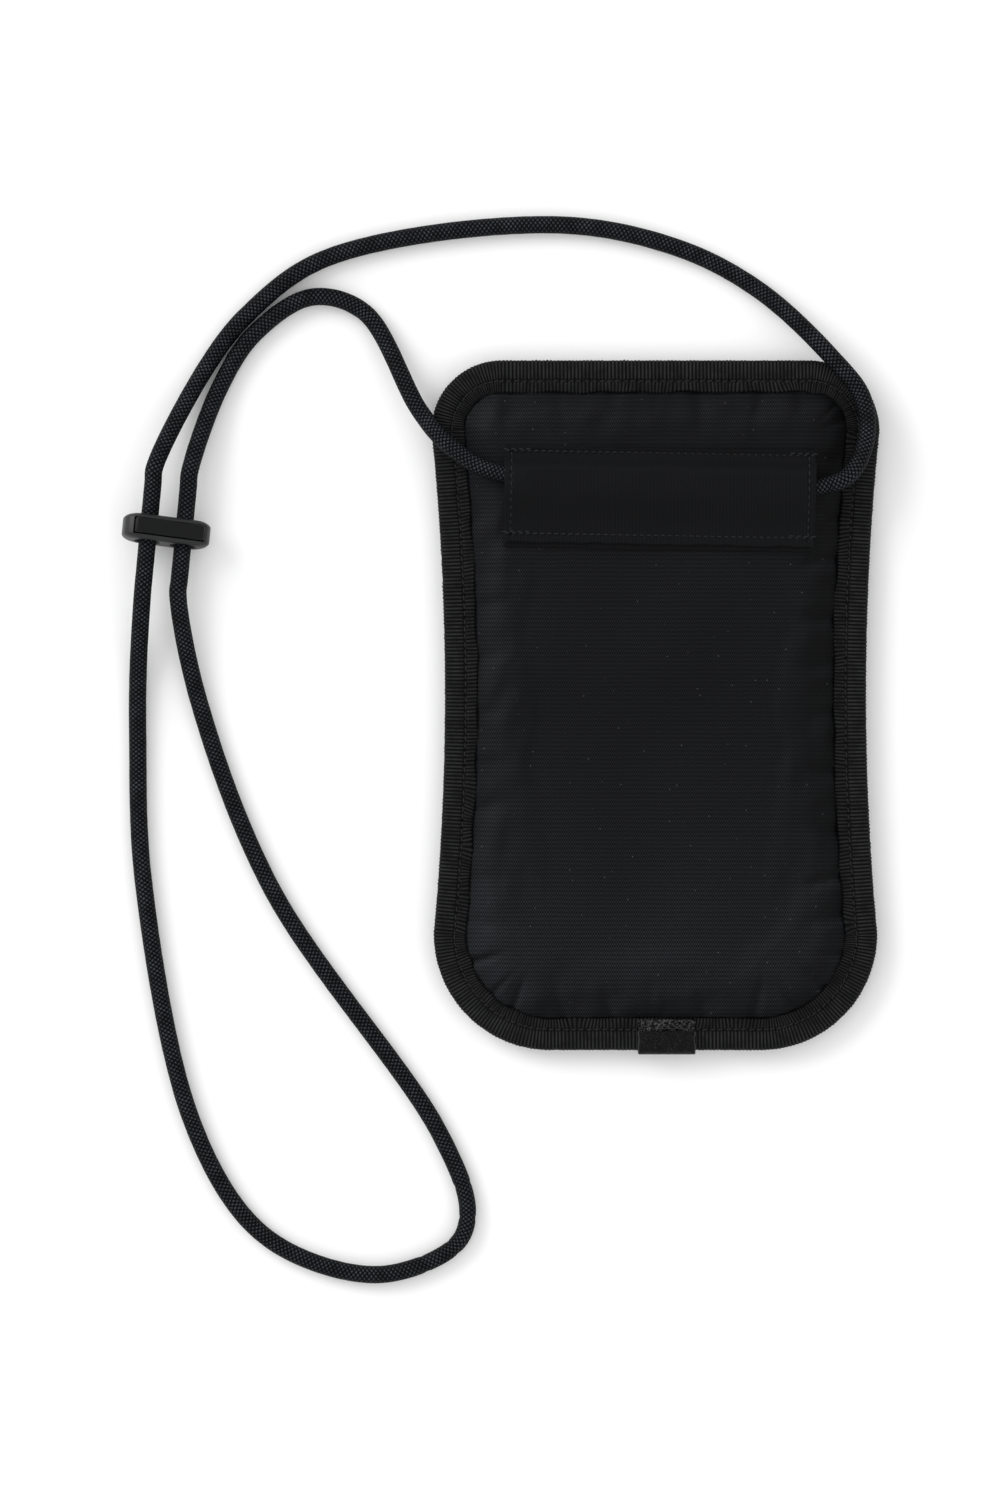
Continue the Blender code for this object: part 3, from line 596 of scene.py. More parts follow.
@dataclass(frozen=True)
class TwillFinish:
    """Matt nylon twill: ribs over a fine diagonal weave, with a little lint."""

    name: str
    lay: Lay = Lay.ACROSS
    dark: float = 0.0004
    light: float = 0.0240
    rib: float = 1.1 * MM
    weave: float = 0.62 * MM
    relief: float = 0.10 * MM
    # how strongly the colour is painted lighter towards the left and the bottom, as painted light
    painted_light_strength: float = 0.30
    lint: bool = True
    lint_spacing: float = 5.4 * MM
    lint_light: float = 0.095

    def material(self) -> bpy.types.Material:
        """Ribs are a cosine across them. The weave is the product of a cosine along each rib and one across
        it, so its dots are staggered. Lint is where a cell's middle is near and its random number is high.
        A mark on the mesh holds painted light and shade: cloth that tilts to the upper left is painted
        lighter, and cloth that tilts the other way darker."""
        paint = Paint(self.name)
        place = paint.place()
        x, y, _ = paint.split(place)
        warp = paint.noise(place, 1 / (9 * MM), 2)
        fuzz = paint.noise(place, 1 / (0.35 * MM), 2)
        across, along = (y, x) if self.lay is Lay.ACROSS else (x, y)
        rows = ((across + warp * (0.5 * MM)) * (TAU / self.rib)).cosine()
        rib = rows * 0.5 + 0.5
        weave = (along * (TAU / self.weave)).cosine() * rows * 0.5 + 0.5
        bands = paint.noise(paint.stretch(place, (1 / (60 * MM), 1 / (1.6 * MM), 1)), 1.0, 2)
        clouds = paint.noise(place, 1 / (38 * MM), 3)
        # Painted light: the colour grows lighter towards the left and the bottom, where the cloth faces the
        # light.
        painted_light_low_left = (0 - x).step(5 * MM, 46 * MM) * 0.5 + (0 - y).step(10 * MM, 74 * MM) * 1.3
        # Painted light and shade from the mesh's slope: lighter where it tilts to the upper left, darker
        # elsewhere.
        slope_light = Reading(paint, paint.mark("slope_light").outputs["Fac"])
        tone = rib * 0.15 + weave * 0.52 + fuzz * 0.24 + bands * 0.05
        tone = tone.step(0.20, 0.95) * (0.38 + clouds * 0.30 + painted_light_low_left * self.painted_light_strength) * (1 + slope_light)
        colour = paint.blend(tone, grey(self.dark, 0.18), grey(self.light, 0.22))
        if self.lint:
            near, chance = paint.cells(place, 1 / self.lint_spacing, flat=True)
            chance = (chance * 57.0).cosine() * 0.5 + 0.5
            speck = (1 - near.step(0.010, 0.034)) * chance ** 8
            colour = paint.blend(speck, colour, grey(self.lint_light))
        paint.bump(rib * 0.30 + weave * 0.45 + fuzz * 0.25, self.relief, 0.55)
        return paint.finish(Base_Color=colour, Roughness=0.42 + 0.25 * fuzz, Specular_IOR_Level=CLOTH_SHINE)


@dataclass(frozen=True)
class GrosgrainFinish:
    """Ribbed tape: the ribs' own count is kept on the mesh, so colour and relief follow the ribs."""

    name: str
    dark: float = 0.0002
    light: float = 0.0215
    seam: float = 5.2

    def material(self) -> bpy.types.Material:
        """Painted highlight on each rib's crown and painted shade between ribs, with short crinkles across
        the ribs. Along the seam, whose inset is in millimetres, painted shade darkens the tape, and inside
        the seam the tape is a little darker."""
        paint = Paint(self.name)
        marks = paint.mark("rib").outputs["Vector"]
        count, across, inset = paint.split(marks)
        place = paint.place()
        # Painted light: a rib's crown, which is also its relief, is lighter and the groove between ribs
        # darker.
        crown = (count * TAU).cosine() * 0.5 + 0.5
        fuzz = paint.noise(place, 1 / (0.4 * MM), 2)
        patch = paint.noise(place, 1 / (3.5 * MM), 4, 0.6).step(0.25, 0.75)
        weft = (across * (TAU / (0.42 * MM))).cosine() * 0.5 + 0.5
        # Painted shade: the tape is darker along the seam's groove.
        clear = 0.25 + 0.75 * (inset - self.seam).size().step(0.15, 0.70)
        inside = 1 - 0.25 * inset.step(self.seam, self.seam + 1.2)
        tone = crown * (0.22 + 0.62 * patch) + (1 - patch) * 0.16 + fuzz * 0.25 + weft * 0.08
        tone = tone.step(0.22, 1.0) * clear * inside
        colour = paint.blend(tone, grey(self.dark, 0.06), grey(self.light, 0.08))
        paint.bump(crown * 0.75 + fuzz * 0.15 + weft * 0.10, 0.14 * MM, 0.8)
        return paint.finish(Base_Color=colour, Roughness=0.40 + 0.25 * fuzz, Specular_IOR_Level=CLOTH_SHINE)


@dataclass(frozen=True)
class BraidFinish:
    """Braided polyester: strands cross in a chevron, with a painted highlight on each strand's crown."""

    name: str
    strands: int = 9
    pitch: float = 10.4 * MM
    dark: float = 0.0004
    light: float = 0.060

    def material(self) -> bpy.types.Material:
        """Two sets of strands wind in opposite directions. Which set lies on top changes from cell to cell
        as in a chessboard, and a strand's height is a half cosine across it."""
        paint = Paint(self.name)
        along, turn, _ = paint.split(paint.mark("braid").outputs["Vector"])
        rightward = (along / self.pitch + turn) * self.strands
        leftward = (along / self.pitch - turn) * self.strands
        right, left = rightward.whole(), leftward.whole()
        board = ((right + left) * math.pi).cosine() * 0.5 + 0.5
        first = ((rightward - right - 0.5) * math.pi).cosine()
        second = ((leftward - left - 0.5) * math.pi).cosine()
        height = board * first * (0.55 + 0.45 * second) + (1 - board) * second * (0.55 + 0.45 * first)
        place = paint.place()
        fuzz = paint.noise(place, 1 / (0.3 * MM), 2)
        patch = paint.noise(place, 1 / (4 * MM), 2)
        # Painted shade: the cord's sides are darker than its top, as if lit from above.
        crown = ((turn - 0.25) * TAU).cosine().step(-0.2, 0.95)
        # Painted highlight: the higher a strand stands, the lighter it is painted.
        tone = height * (0.55 + 0.45 * patch) + fuzz * 0.3 - 0.08
        tone = tone.step(0.45, 1.1) * (0.14 + 0.86 * crown)
        colour = paint.blend(tone, grey(self.dark, 0.15), grey(self.light, 0.34))
        paint.bump(height * 0.8 + fuzz * 0.2, 0.22 * MM, 0.75)
        return paint.finish(Base_Color=colour, Roughness=0.5 + 0.2 * fuzz, Specular_IOR_Level=CLOTH_SHINE)


@dataclass(frozen=True)
class LeatherFinish:
    """Glossy black leather with fine pebbles, crushed along its sewn strip."""

    name: str
    dark: float = 0.0006
    light: float = 0.0062
    shine: float = 0.075

    def material(self) -> bpy.types.Material:
        """Pebbles are the distance to the edges of scattered cells, with finer pores on them. On the sewn
        strip, ridges where a noise crosses its middle value get painted highlights, as do the cut side edges,
        and thin painted glints lie off the strip."""
        paint = Paint(self.name)
        place = paint.place()
        strip, brink, _ = paint.split(paint.mark("crush_and_edge_light").outputs["Vector"])
        edge, _ = paint.cells(place, 1 / (0.70 * MM), "DISTANCE_TO_EDGE")
        pore = paint.noise(place, 1 / (0.25 * MM), 2)
        pebble = edge.step(0.0, 0.32)
        squiggle = 1 - (paint.noise(place, 1 / (0.9 * MM), 2) - 0.5).size().step(0.02, 0.075)
        glint = paint.noise(paint.stretch(place, (1 / (0.9 * MM), 1 / (0.3 * MM), 1), 0.7), 1.0, 2)
        fine = glint.step(0.58, 0.75) * (1 - strip) * 0.30
        colour = paint.blend(pebble * 0.5 + pore * 0.5, grey(self.dark), grey(self.light, 0.05))
        # Painted highlights: crinkle ridges on the strip, the side edges and thin glints are painted lighter.
        colour = paint.blend(squiggle * strip * 0.62 + brink * 0.40 + fine * 0.9, colour, grey(0.10, 0.05))
        paint.bump(pebble * 0.7 + pore * 0.2 + squiggle * strip, 0.14 * MM, 0.9)
        return paint.finish(Base_Color=colour, Roughness=0.26 + 0.16 * pore, Specular_IOR_Level=self.shine)


@dataclass(frozen=True)
class PlasticFinish:
    """Moulded satin plastic with a fine grain and soft wear marks."""

    name: str
    colour: float = 0.007
    roughness: float = 0.30
    tint: float = 0.22
    shine: float = 0.36

    def material(self) -> bpy.types.Material:
        """A fine grain in relief, and faint lighter scuffs where stretched noise is high."""
        paint = Paint(self.name)
        place = paint.place()
        grain = paint.noise(place, 1 / (0.22 * MM), 2)
        clouds = paint.noise(place, 1 / (5 * MM), 2)
        scuff = paint.noise(paint.stretch(place, (1 / (3.2 * MM), 1 / (0.25 * MM), 1 / (0.8 * MM))), 1.0, 2)
        wear = scuff.step(0.62, 0.80) * 0.35
        low, high = grey(self.colour * 0.85, self.tint), grey(self.colour * 1.9, self.tint)
        paint.bump(grain * 0.7 + scuff * 0.3, 0.02 * MM, 0.5)
        return paint.finish(
            Base_Color=paint.blend(wear + clouds * 0.12, low, high),
            Roughness=self.roughness + 0.14 * clouds + 0.10 * grain,
            Specular_IOR_Level=self.shine,
        )


@dataclass(frozen=True)
class ThreadFinish:
    """Sewing thread: two plies that wind round each other."""

    name: str
    dark: float = 0.0040
    light: float = 0.0330

    def material(self) -> bpy.types.Material:
        """Plies are a cosine on slanting lines across the thread."""
        paint = Paint(self.name)
        place = paint.place()
        x, y, _ = paint.split(place)
        ply = ((x * 0.8 + y * 1.1) * (TAU / (0.34 * MM))).cosine() * 0.5 + 0.5
        fuzz = paint.noise(place, 1 / (0.2 * MM), 2)
        tone = (ply * 0.6 + fuzz * 0.5).step(0.15, 0.95)
        colour = paint.blend(tone, grey(self.dark, 0.1), grey(self.light, 0.1))
        paint.bump(ply * 0.7 + fuzz * 0.3, 0.05 * MM, 0.6)
        return paint.finish(Base_Color=colour, Roughness=0.45 + 0.2 * fuzz, Specular_IOR_Level=YARN_SHINE)


@dataclass(frozen=True)
class WovenFinish:
    """Plain woven tape or lining: crossing yarns."""

    name: str
    pitch: float = 0.5 * MM
    dark: float = 0.002
    light: float = 0.012
    gloss: float = 0.5

    def material(self) -> bpy.types.Material:
        """Yarns are the larger of two crossing cosines."""
        paint = Paint(self.name)
        place = paint.place()
        x, y, _ = paint.split(place)
        weft = (x * (TAU / self.pitch)).cosine() * 0.5 + 0.5
        warp = (y * (TAU / self.pitch)).cosine() * 0.5 + 0.5
        height = paint.maths("MAXIMUM", weft, warp)
        fuzz = paint.noise(place, 1 / (0.5 * MM), 3)
        tone = (height * 0.6 + fuzz * 0.4).step(0.2, 0.9)
        colour = paint.blend(tone, grey(self.dark, 0.1), grey(self.light, 0.12))
        paint.bump(height * 0.8 + fuzz * 0.2, 0.08 * MM, 0.6)
        rough = self.gloss + 0.2 * fuzz
        return paint.finish(Base_Color=colour, Roughness=rough, Specular_IOR_Level=YARN_SHINE)


@dataclass(frozen=True)
class FoamFinish:
    """Open-cell foam."""

    name: str

    def material(self) -> bpy.types.Material:
        """Pits are the middles of small scattered cells."""
        paint = Paint(self.name)
        place = paint.place()
        pit, _ = paint.cells(place, 1 / (0.6 * MM))
        fuzz = paint.noise(place, 1 / (3 * MM), 3)
        colour = paint.blend(pit.step(0.1, 0.7) * 0.7 + fuzz * 0.3, grey(0.05), grey(0.13))
        paint.bump(pit, 0.12 * MM, 0.8)
        return paint.finish(Base_Color=colour, Roughness=0.95)


@dataclass(frozen=True)
class MetalFinish:
    """Metal, painted or bright, with drawing lines and small chips."""

    name: str
    colour: float
    roughness: float
    chips: float

    def material(self) -> bpy.types.Material:
        """Lines are stretched noise, and chips show brighter metal where a finer noise is high."""
        paint = Paint(self.name)
        place = paint.place()
        lines = paint.noise(paint.stretch(place, (1 / (2 * MM), 1 / (0.12 * MM), 1 / (0.12 * MM))), 1.0, 2)
        patch = paint.noise(place, 1 / (1.1 * MM), 3)
        chip = patch.step(0.66, 0.72) * self.chips
        colour = paint.blend(chip + lines * 0.1, grey(self.colour, 0.05), grey(0.42))
        paint.bump(lines, 0.015 * MM, 0.4)
        return paint.finish(Base_Color=colour, Metallic=1.0, Roughness=self.roughness + 0.15 * lines)


class Wardrobe:
    """All finishes, each made once."""

    def __init__(self) -> None:
        """Make every material."""
        self.panel = TwillFinish("panel_twill").material()
        self.patch = TwillFinish(
            "tunnel_twill", lay=Lay.UPRIGHT, rib=0.9 * MM, weave=0.55 * MM, relief=0.06 * MM,
            dark=0.0010, light=0.0175, painted_light_strength=0.0, lint=False,
        ).material()
        self.binding = GrosgrainFinish("binding_grosgrain").material()
        self.braid = NeckCord.finish.material()
        self.leather = LeatherFinish("tab_leather").material()
        self.lock = PlasticFinish("lock_satin").material()
        self.button = PlasticFinish("button_satin", colour=0.003, roughness=0.30, shine=0.15).material()
        self.thread = ThreadFinish("seam_thread").material()
        self.tape = WovenFinish("zip_tape_weave", pitch=0.7 * MM).material()
        self.lining = WovenFinish("lining_weave", pitch=0.4 * MM, dark=0.02, light=0.04, gloss=0.4).material()
        self.coil = PlasticFinish("zip_coil_nylon", colour=0.006, roughness=0.4, shine=0.2).material()
        self.foam = FoamFinish("pad_foam").material()
        self.metal = MetalFinish("zip_painted_metal", 0.03, 0.32, 0.5).material()
        self.steel = MetalFinish("spring_bright_steel", 0.50, 0.25, 0.2).material()


def dress(
    obj: bpy.types.Object, material: bpy.types.Material, body: str, nodes: Sequence[str] = ()
) -> bpy.types.Object:
    """Give a piece its material and body, and let it stand for CAD nodes."""
    obj.data.materials.clear()
    obj.data.materials.append(material)
    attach(obj, body)
    if nodes:
        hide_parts(*nodes)
    log.info("%s: %d faces, on %s", obj.name, len(obj.data.polygons), body)
    return obj


def cloth(
    name: str, points: Array, thickness: float, material: bpy.types.Material, slot: str, node: str,
    marks: dict[str, Array] | None = None, flat_angle: float | None = SMOOTH_ANGLE,
) -> bpy.types.Object:
    """A sheet of the pouch on a grid of points, thickened downwards and dressed.

    Args:
        name: the piece's name.
        points: grid of places of its upper side.
        thickness: the cloth's thickness.
        material: its finish.
        slot: not used.
        node: the CAD node that it stands for.
        marks: named numbers kept at each vertex.
        flat_angle: edges sharper than this stay sharp.

    Returns:
        The new piece.
    """
    sheet = piece(name, points, grid_faces(*points.shape[:2]), (), marks, False, flat_angle)
    solidify = sheet.modifiers.new("cloth_thickness", "SOLIDIFY")
    solidify.thickness = thickness
    solidify.offset = -1
    return dress(sheet, material, "pouch", [node])


# --- The pouch's outline and fullness -----------------------------------------------------------------
@dataclass(frozen=True)
class PouchForm:
    """Outline of the pouch and the heights of its faces."""

    waist_y: float = 3.0 * MM
    flare: float = 0.75
    top_radius: float = 18.0 * MM
    bottom_radius: float = 30.0 * MM
    tape_width: float = 8.3 * MM
    slope_width: float = 15.4 * MM
    cloth: float = 0.6 * MM
    gap: float = 0.3 * MM

    @property
    def half_length(self) -> float:
        """Half the binding's length."""
        low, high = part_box("edge_binding")
        return (high.y - low.y) / 2

    @property
    def waist(self) -> float:
        """Half the width at the waist, from the widest place at the top corners."""
        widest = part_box("edge_binding")[1].x
        return widest - self.flare * (self.half_length - self.top_radius - self.waist_y) ** 2

    @property
    def rim(self) -> tuple[float, float]:
        """Lowest and highest level of the binding."""
        low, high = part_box("edge_binding")
        return low.z, high.z

    def half_width(self, y: Array) -> Array:
        """Half the width at y: the waist plus the flare times the squared distance from the waist."""
        return self.waist + self.flare * (y - self.waist_y) ** 2

    def corner(self, y: Array) -> tuple[Array, Array]:
        """Radius of the nearer corners, and how far y is past the corner's start."""
        radius = np.where(y > 0, self.top_radius, self.bottom_radius)
        return radius, np.abs(y) - (self.half_length - radius)

    def inset(self, x: Array, y: Array) -> Array:
        """Distance inwards from the outline, as for a rectangle with rounded corners: the radius less the
        length of what lies past the corner's middle, or less the larger of the two where nothing does."""
        radius, beyond = self.corner(y)
        start = np.where(y > 0, 1, -1) * (self.half_length - radius)
        side = self.half_width(np.where(beyond > 0, start, y)) - radius
        past = np.abs(x) - side
        outer = np.hypot(np.maximum(past, 0), np.maximum(beyond, 0))
        inner = np.minimum(np.maximum(past, beyond), 0)
        return radius - outer - inner

    def span(self, y: Array, inset: float) -> Array:
        """Half the width at y of the outline moved inwards."""
        radius, beyond = self.corner(y)
        start = np.where(y > 0, 1, -1) * (self.half_length - radius)
        reach = radius - inset
        curve = np.sqrt(np.clip(reach**2 - np.clip(beyond, 0, reach) ** 2, 0, None))
        return np.where(beyond > 0, self.half_width(start) - radius + curve, self.half_width(y) - inset)

    def outline(self, count: int) -> tuple[Array, Array, float]:
        """The outline from the middle of the bottom, counter-clockwise.

        Args:
            count: how many points.

        Returns:
            Points, outward directions and the whole length.
        """
        low, high = -self.half_length + self.bottom_radius, self.half_length - self.top_radius
        lower = arc((self.half_width(low) - self.bottom_radius, low), self.bottom_radius, -90, 0, 60)
        upper = arc((self.half_width(high) - self.top_radius, high), self.top_radius, 0, 90, 60)
        y = np.linspace(low, high, 120)[1:-1]
        side = np.stack([self.half_width(y), y], 1)
        right = np.vstack([[[0.0, -self.half_length]], lower, side, upper, [[0.0, self.half_length]]])
        left = right[-2:0:-1] * [-1, 1]
        points, length = resample(np.vstack([right, left]), count, closed=True)
        return points, -leftward(np.roll(points, -3, 0) - np.roll(points, 3, 0)), length

    def share(self, inset: Array) -> Array:
        """How far a place lies along the slope, from 0 just under the tape to 1 at the flat middle."""
        return np.clip((inset - self.tape_width + 2 * self.gap) / self.slope_width, 0, 1)

    def back(self, inset: Array) -> Array:
        """Back face: the rim plus the fullness, times 1 less what is left of the slope to the power 3.3."""
        low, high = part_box("back_panel")
        return low.z + self.cloth + (high.z - low.z - self.cloth) * (1 - (1 - self.share(inset)) ** 3.3)

    def front(self, inset: Array) -> Array:
        """Front face: the rim's level times the square of what is left of the slope."""
        level = self.rim[0] + self.cloth + self.gap
        return level * (1 - self.share(inset)) ** 2

    def flat_area(self, inset: float) -> float:
        """Area inside the outline moved inwards."""
        y = np.linspace(-self.half_length + inset, self.half_length - inset, 400)
        return float(2 * self.span(y, inset).mean() * (y[-1] - y[0]))


def field(
    form: PouchForm, inset: float, rows: int, cols: int, top: float | None = None
) -> tuple[Array, Array]:
    """Places of a grid that fills the outline moved inwards: y follows a sine, so that rows are close at
    both ends, and x runs evenly between the sides.

    Args:
        form: the pouch's outline.
        inset: how far the outline is moved inwards.
        rows: points from bottom to top.
        cols: points from left to right.
        top: y where the piece is cut off, or None for the outline's own top.

    Returns:
        Grids of x and y.
    """
    low, high = -form.half_length + inset, form.half_length - inset
    share = np.sin(np.linspace(-math.pi / 2, math.pi / 2, rows)) * 0.5 + 0.5
    y = low + (high - low) * share
    if top is not None:
        y = low + (top - low) * (1 - np.cos(np.linspace(0, math.pi / 2, rows)))
    y = np.broadcast_to(y[:, None], (rows, cols))
    x = np.linspace(-1, 1, cols)[None] * form.span(y, inset)
    return x, y


@dataclass
class BackPanel:
    """The padded back face, with puckers where the binding's seam gathers it."""

    form: PouchForm
    edge: float = 0.9 * MM
    rows: int = 230
    cols: int = 168
    pucker_pitch: float = 13.0 * MM
    pucker_depth: float = 0.85 * MM
    settle_cap: float = 0.9 * MM
    settle_frames: int = 20
    settle_share: float = 0.4
    settle_reach: float = 0.3 * MM

    def puckers(self, x: Array, y: Array, inset: Array) -> Array:
        """Valleys that run in from the seam, square to it: a bell in the distance along the nearest outline
        times a bell in the inset. They are deepest along the right side and round the lower corners."""
        outline, _, length = self.form.outline(900)
        flat = np.stack([x, y], -1).reshape(-1, 1, 2)
        near = np.concatenate([
            np.argmin(((part - outline[None]) ** 2).sum(-1), 1) for part in np.array_split(flat, 40)
        ]).reshape(x.shape)
        along = near * length / len(outline)
        random = np.random.default_rng(5)
        total = np.zeros_like(x)
        for place in np.arange(0, length, self.pucker_pitch):
            place = place + random.uniform(-3, 3) * MM
            at = outline[int(place / length * len(outline)) % len(outline)]
            size = 1.2 if at[0] > 30 * MM and abs(at[1]) < 60 * MM else 0.40
            size = max(size, 0.9 * (at[1] < -60 * MM) * (abs(at[0]) > 25 * MM))
            slant = random.uniform(-0.25, 0.25) * (inset - 9 * MM)
            gone = (along - place - slant + length / 2) % length - length / 2
            deep = bell(inset - random.uniform(9.5, 11.5) * MM, random.uniform(3.5, 6.5) * MM)
            total += size * random.uniform(0.5, 1.2) * bell(gone, random.uniform(1.1, 2.0) * MM) * deep
        return -self.pucker_depth * total

    def fullness(self, x: Array, y: Array) -> Array:
        """Height: the back face's formula, plus puckers and ripples that fade at the edge."""
        inset = self.form.inset(x, y)
        soft = rise(inset, 8 * MM, 13 * MM)
        near = bell(inset - 13 * MM, 7 * MM)
        waves = ripple(x, y, 34 * MM, 3) * 0.16 * MM * soft + ripple(x, y, 11 * MM, 4) * 0.15 * MM * near
        return self.form.back(inset) + self.puckers(x, y, inset) + waves

    def settle(self, x: Array, y: Array) -> Array:
        """Let the cloth settle: a coarser grid, held at its rim, grows a little and is pressed up from
        inside. Its movement, capped, is read back on the fine grid.

        Args:
            x: fine grid of places across.
            y: not used.

        Returns:
            How far each fine point moves up.
        """
        rows, cols = 96, 66
        coarse_x, coarse_y = field(self.form, self.edge, rows, cols)
        inset = self.form.inset(coarse_x, coarse_y)
        height = self.form.back(inset)
        start = np.stack([coarse_x, coarse_y, height], -1)
        sheet = piece("settling_cloth", start, grid_faces(rows, cols)[:, ::-1], closed=False)
        held = sheet.vertex_groups.new(name="held")
        pinned = np.flatnonzero((inset < 9.4 * MM).ravel())
        held.add(pinned.tolist(), 1.0, "REPLACE")
        modifier = sheet.modifiers.new("settle", "CLOTH")
        settings = modifier.settings
        settings.quality = 6
        settings.mass = 0.12
        settings.tension_stiffness = settings.compression_stiffness = 18
        settings.shear_stiffness = 6
        settings.bending_stiffness = 1.5
        settings.shrink_min = -0.003
        settings.vertex_group_mass = "held"
        settings.use_pressure = True
        settings.uniform_pressure_force = 0.8
        settings.effector_weights.gravity = 0
        modifier.collision_settings.use_collision = False
        scene = bpy.context.scene
        for step in range(1, self.settle_frames + 1):
            scene.frame_set(step)
        result = sheet.evaluated_get(bpy.context.evaluated_depsgraph_get()).data
        moved = np.zeros(rows * cols * 3, np.float32)
        result.vertices.foreach_get("co", moved)
        scene.frame_set(1)
        bpy.data.objects.remove(sheet, do_unlink=True)
        change = np.clip(moved.reshape(rows, cols, 3)[..., 2] - height, -self.settle_cap, self.settle_cap)
        row = (len(x) - 1) * np.linspace(0, 1, rows)
        col = (x.shape[1] - 1) * np.linspace(0, 1, cols)
        tall = np.stack([np.interp(np.arange(len(x)), row, change[:, k]) for k in range(cols)], 1)
        return np.stack([np.interp(np.arange(x.shape[1]), col, line) for line in tall], 0)

    def build(self, wardrobe: Wardrobe) -> bpy.types.Object:
        """Build and dress the panel."""
        x, y = field(self.form, self.edge, self.rows, self.cols)
        z = self.fullness(x, y)
        lift = self.settle(x, y)
        log.info("back panel settled by %.2f to %.2f mm", lift.min() / MM, lift.max() / MM)
        middle = np.median(lift[self.rows // 3 : -self.rows // 3, self.cols // 3 : -self.cols // 3])
        spread = rise(self.form.inset(x, y), 9 * MM, 16 * MM)
        change = (lift - middle) * self.settle_share
        z = z + np.clip(change, -self.settle_reach, self.settle_reach) * spread
        shape = self.form.back(self.form.inset(x, y))
        # The mark given here is painted light and shade for the twill's colour, worked out from the cloth's
        # slopes.
        panel = cloth(
            "back_panel_cloth", np.stack([x, y, z], -1), self.form.cloth,
            wardrobe.panel, "twill", "back_panel", {"slope_light": painted_slope_light(x, y, z - shape, shape)}, None,
        )
        flat = (2 * (self.form.waist + 3 * MM), 2 * self.form.half_length - 2 * self.edge)
        area = self.form.flat_area(self.edge)
        return panel


@dataclass
class InnerLayers:
    """The foam pad and the two linings of the pocket."""

    form: PouchForm
    inset: float = 14.5 * MM
    pad: float = 2.0 * MM
    lining: float = 0.4 * MM
    rows: int = 90
    cols: int = 60

    def build(self, wardrobe: Wardrobe) -> list[bpy.types.Object]:
        """Build the three layers, each at its depth under the face that it belongs to."""
        form = self.form
        below = form.cloth + form.gap
        x, y = field(form, self.inset, self.rows, self.cols)
        height = form.back(form.inset(x, y)) - below
        dimple = 0.12 * MM * ripple(x, y, 9 * MM, 11)
        points = np.stack([x, y, height - 0.15 * MM + dimple], -1)
        pad = cloth("back_pad", points, self.pad - 0.3 * MM, wardrobe.foam, "foam", "back_padding")
        under = height - self.pad - form.gap + 0.1 * MM * ripple(x, y, 14 * MM, 12)
        points = np.stack([x, y, under], -1)
        back = cloth("back_lining_cloth", points, self.lining, wardrobe.lining, "lining", "back_lining")
        size = (2 * (form.waist + 3 * MM - self.inset), 2 * (form.half_length - self.inset))
        form.flat_area(self.inset)
        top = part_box("front_lining")[1].y
        x, y = field(form, self.inset, self.rows, self.cols, top=top)
        level = form.front(form.inset(x, y)) + below + self.lining
        fall = rise(y, top - 22 * MM, top) * (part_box("front_lining")[1].z - level) * 0.96
        points = np.stack([x, y, level + fall], -1)
        front = cloth("front_lining_cloth", points, self.lining, wardrobe.lining, "lining", "front_lining")
        length = top + form.half_length - self.inset
        return [pad, back, front]


@dataclass
class FrontPanels:
    """The two panels of the zipped face, on both sides of the zip."""

    form: PouchForm
    edge: float = 0.9 * MM
    rows: int = 150
    cols: int = 130
    fall: float = 22.0 * MM
    upper_rows: int = 40
    hem_start: float = 2.9 * MM
    hem_end: float = 3.4 * MM
    hem_step: float = 0.12 * MM

    def build(self, wardrobe: Wardrobe) -> list[bpy.types.Object]:
        """The lower panel follows the front's formula and rises to the zip, and the upper one lies flat.
        Both are hemmed along the zip: a low ridge where the cloth is folded in."""
        form = self.form
        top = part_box("front_panel_lower")[1].y
        x, y = field(form, self.edge, self.rows, self.cols, top=top)
        inset = form.inset(x, y)
        level = form.front(inset)
        rim = form.rim[0] + form.cloth + form.gap
        beside = np.clip((top - y) / self.fall, 0, 1)
        level = np.maximum(level, rim * (1 - beside) ** 2)
        soft = rise(inset, 8 * MM, 14 * MM) * rise(top - y, 1 * MM, 8 * MM)
        level = level + np.abs(ripple(x, y, 20 * MM, 21)) * 0.18 * MM * soft
        ridge = self.hem_step * rise(y, top - self.hem_end, top - self.hem_start)
        lower = cloth(
            "front_panel_lower_cloth", np.stack([x, y, level - ridge + form.cloth], -1), form.cloth,
            wardrobe.panel, "twill", "front_panel_lower", None, None,
        )
        size = (2 * (form.waist + 2 * MM), top + form.half_length)
        area = form.flat_area(self.edge) * (top + form.half_length) / (2 * form.half_length)
        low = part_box("front_panel_upper")[0].y
        share = np.sin(np.linspace(0, math.pi / 2, self.upper_rows))[:, None]
        y = low + (form.half_length - self.edge - low) * np.broadcast_to(share, (self.upper_rows, self.cols))
        x = np.linspace(-1, 1, self.cols)[None] * form.span(y, self.edge)
        ridge = self.hem_step * (1 - rise(y, low + self.hem_start, low + self.hem_end))
        level = rim + form.cloth - ridge + 0.08 * MM * ripple(x, y, 9 * MM, 22)
        upper = cloth(
            "front_panel_upper_cloth", np.stack([x, y, level], -1), form.cloth,
            wardrobe.panel, "twill", "front_panel_upper", None, None,
        )
        size = (2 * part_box("front_panel_upper")[1].x, form.half_length - low)
        return [lower, upper]


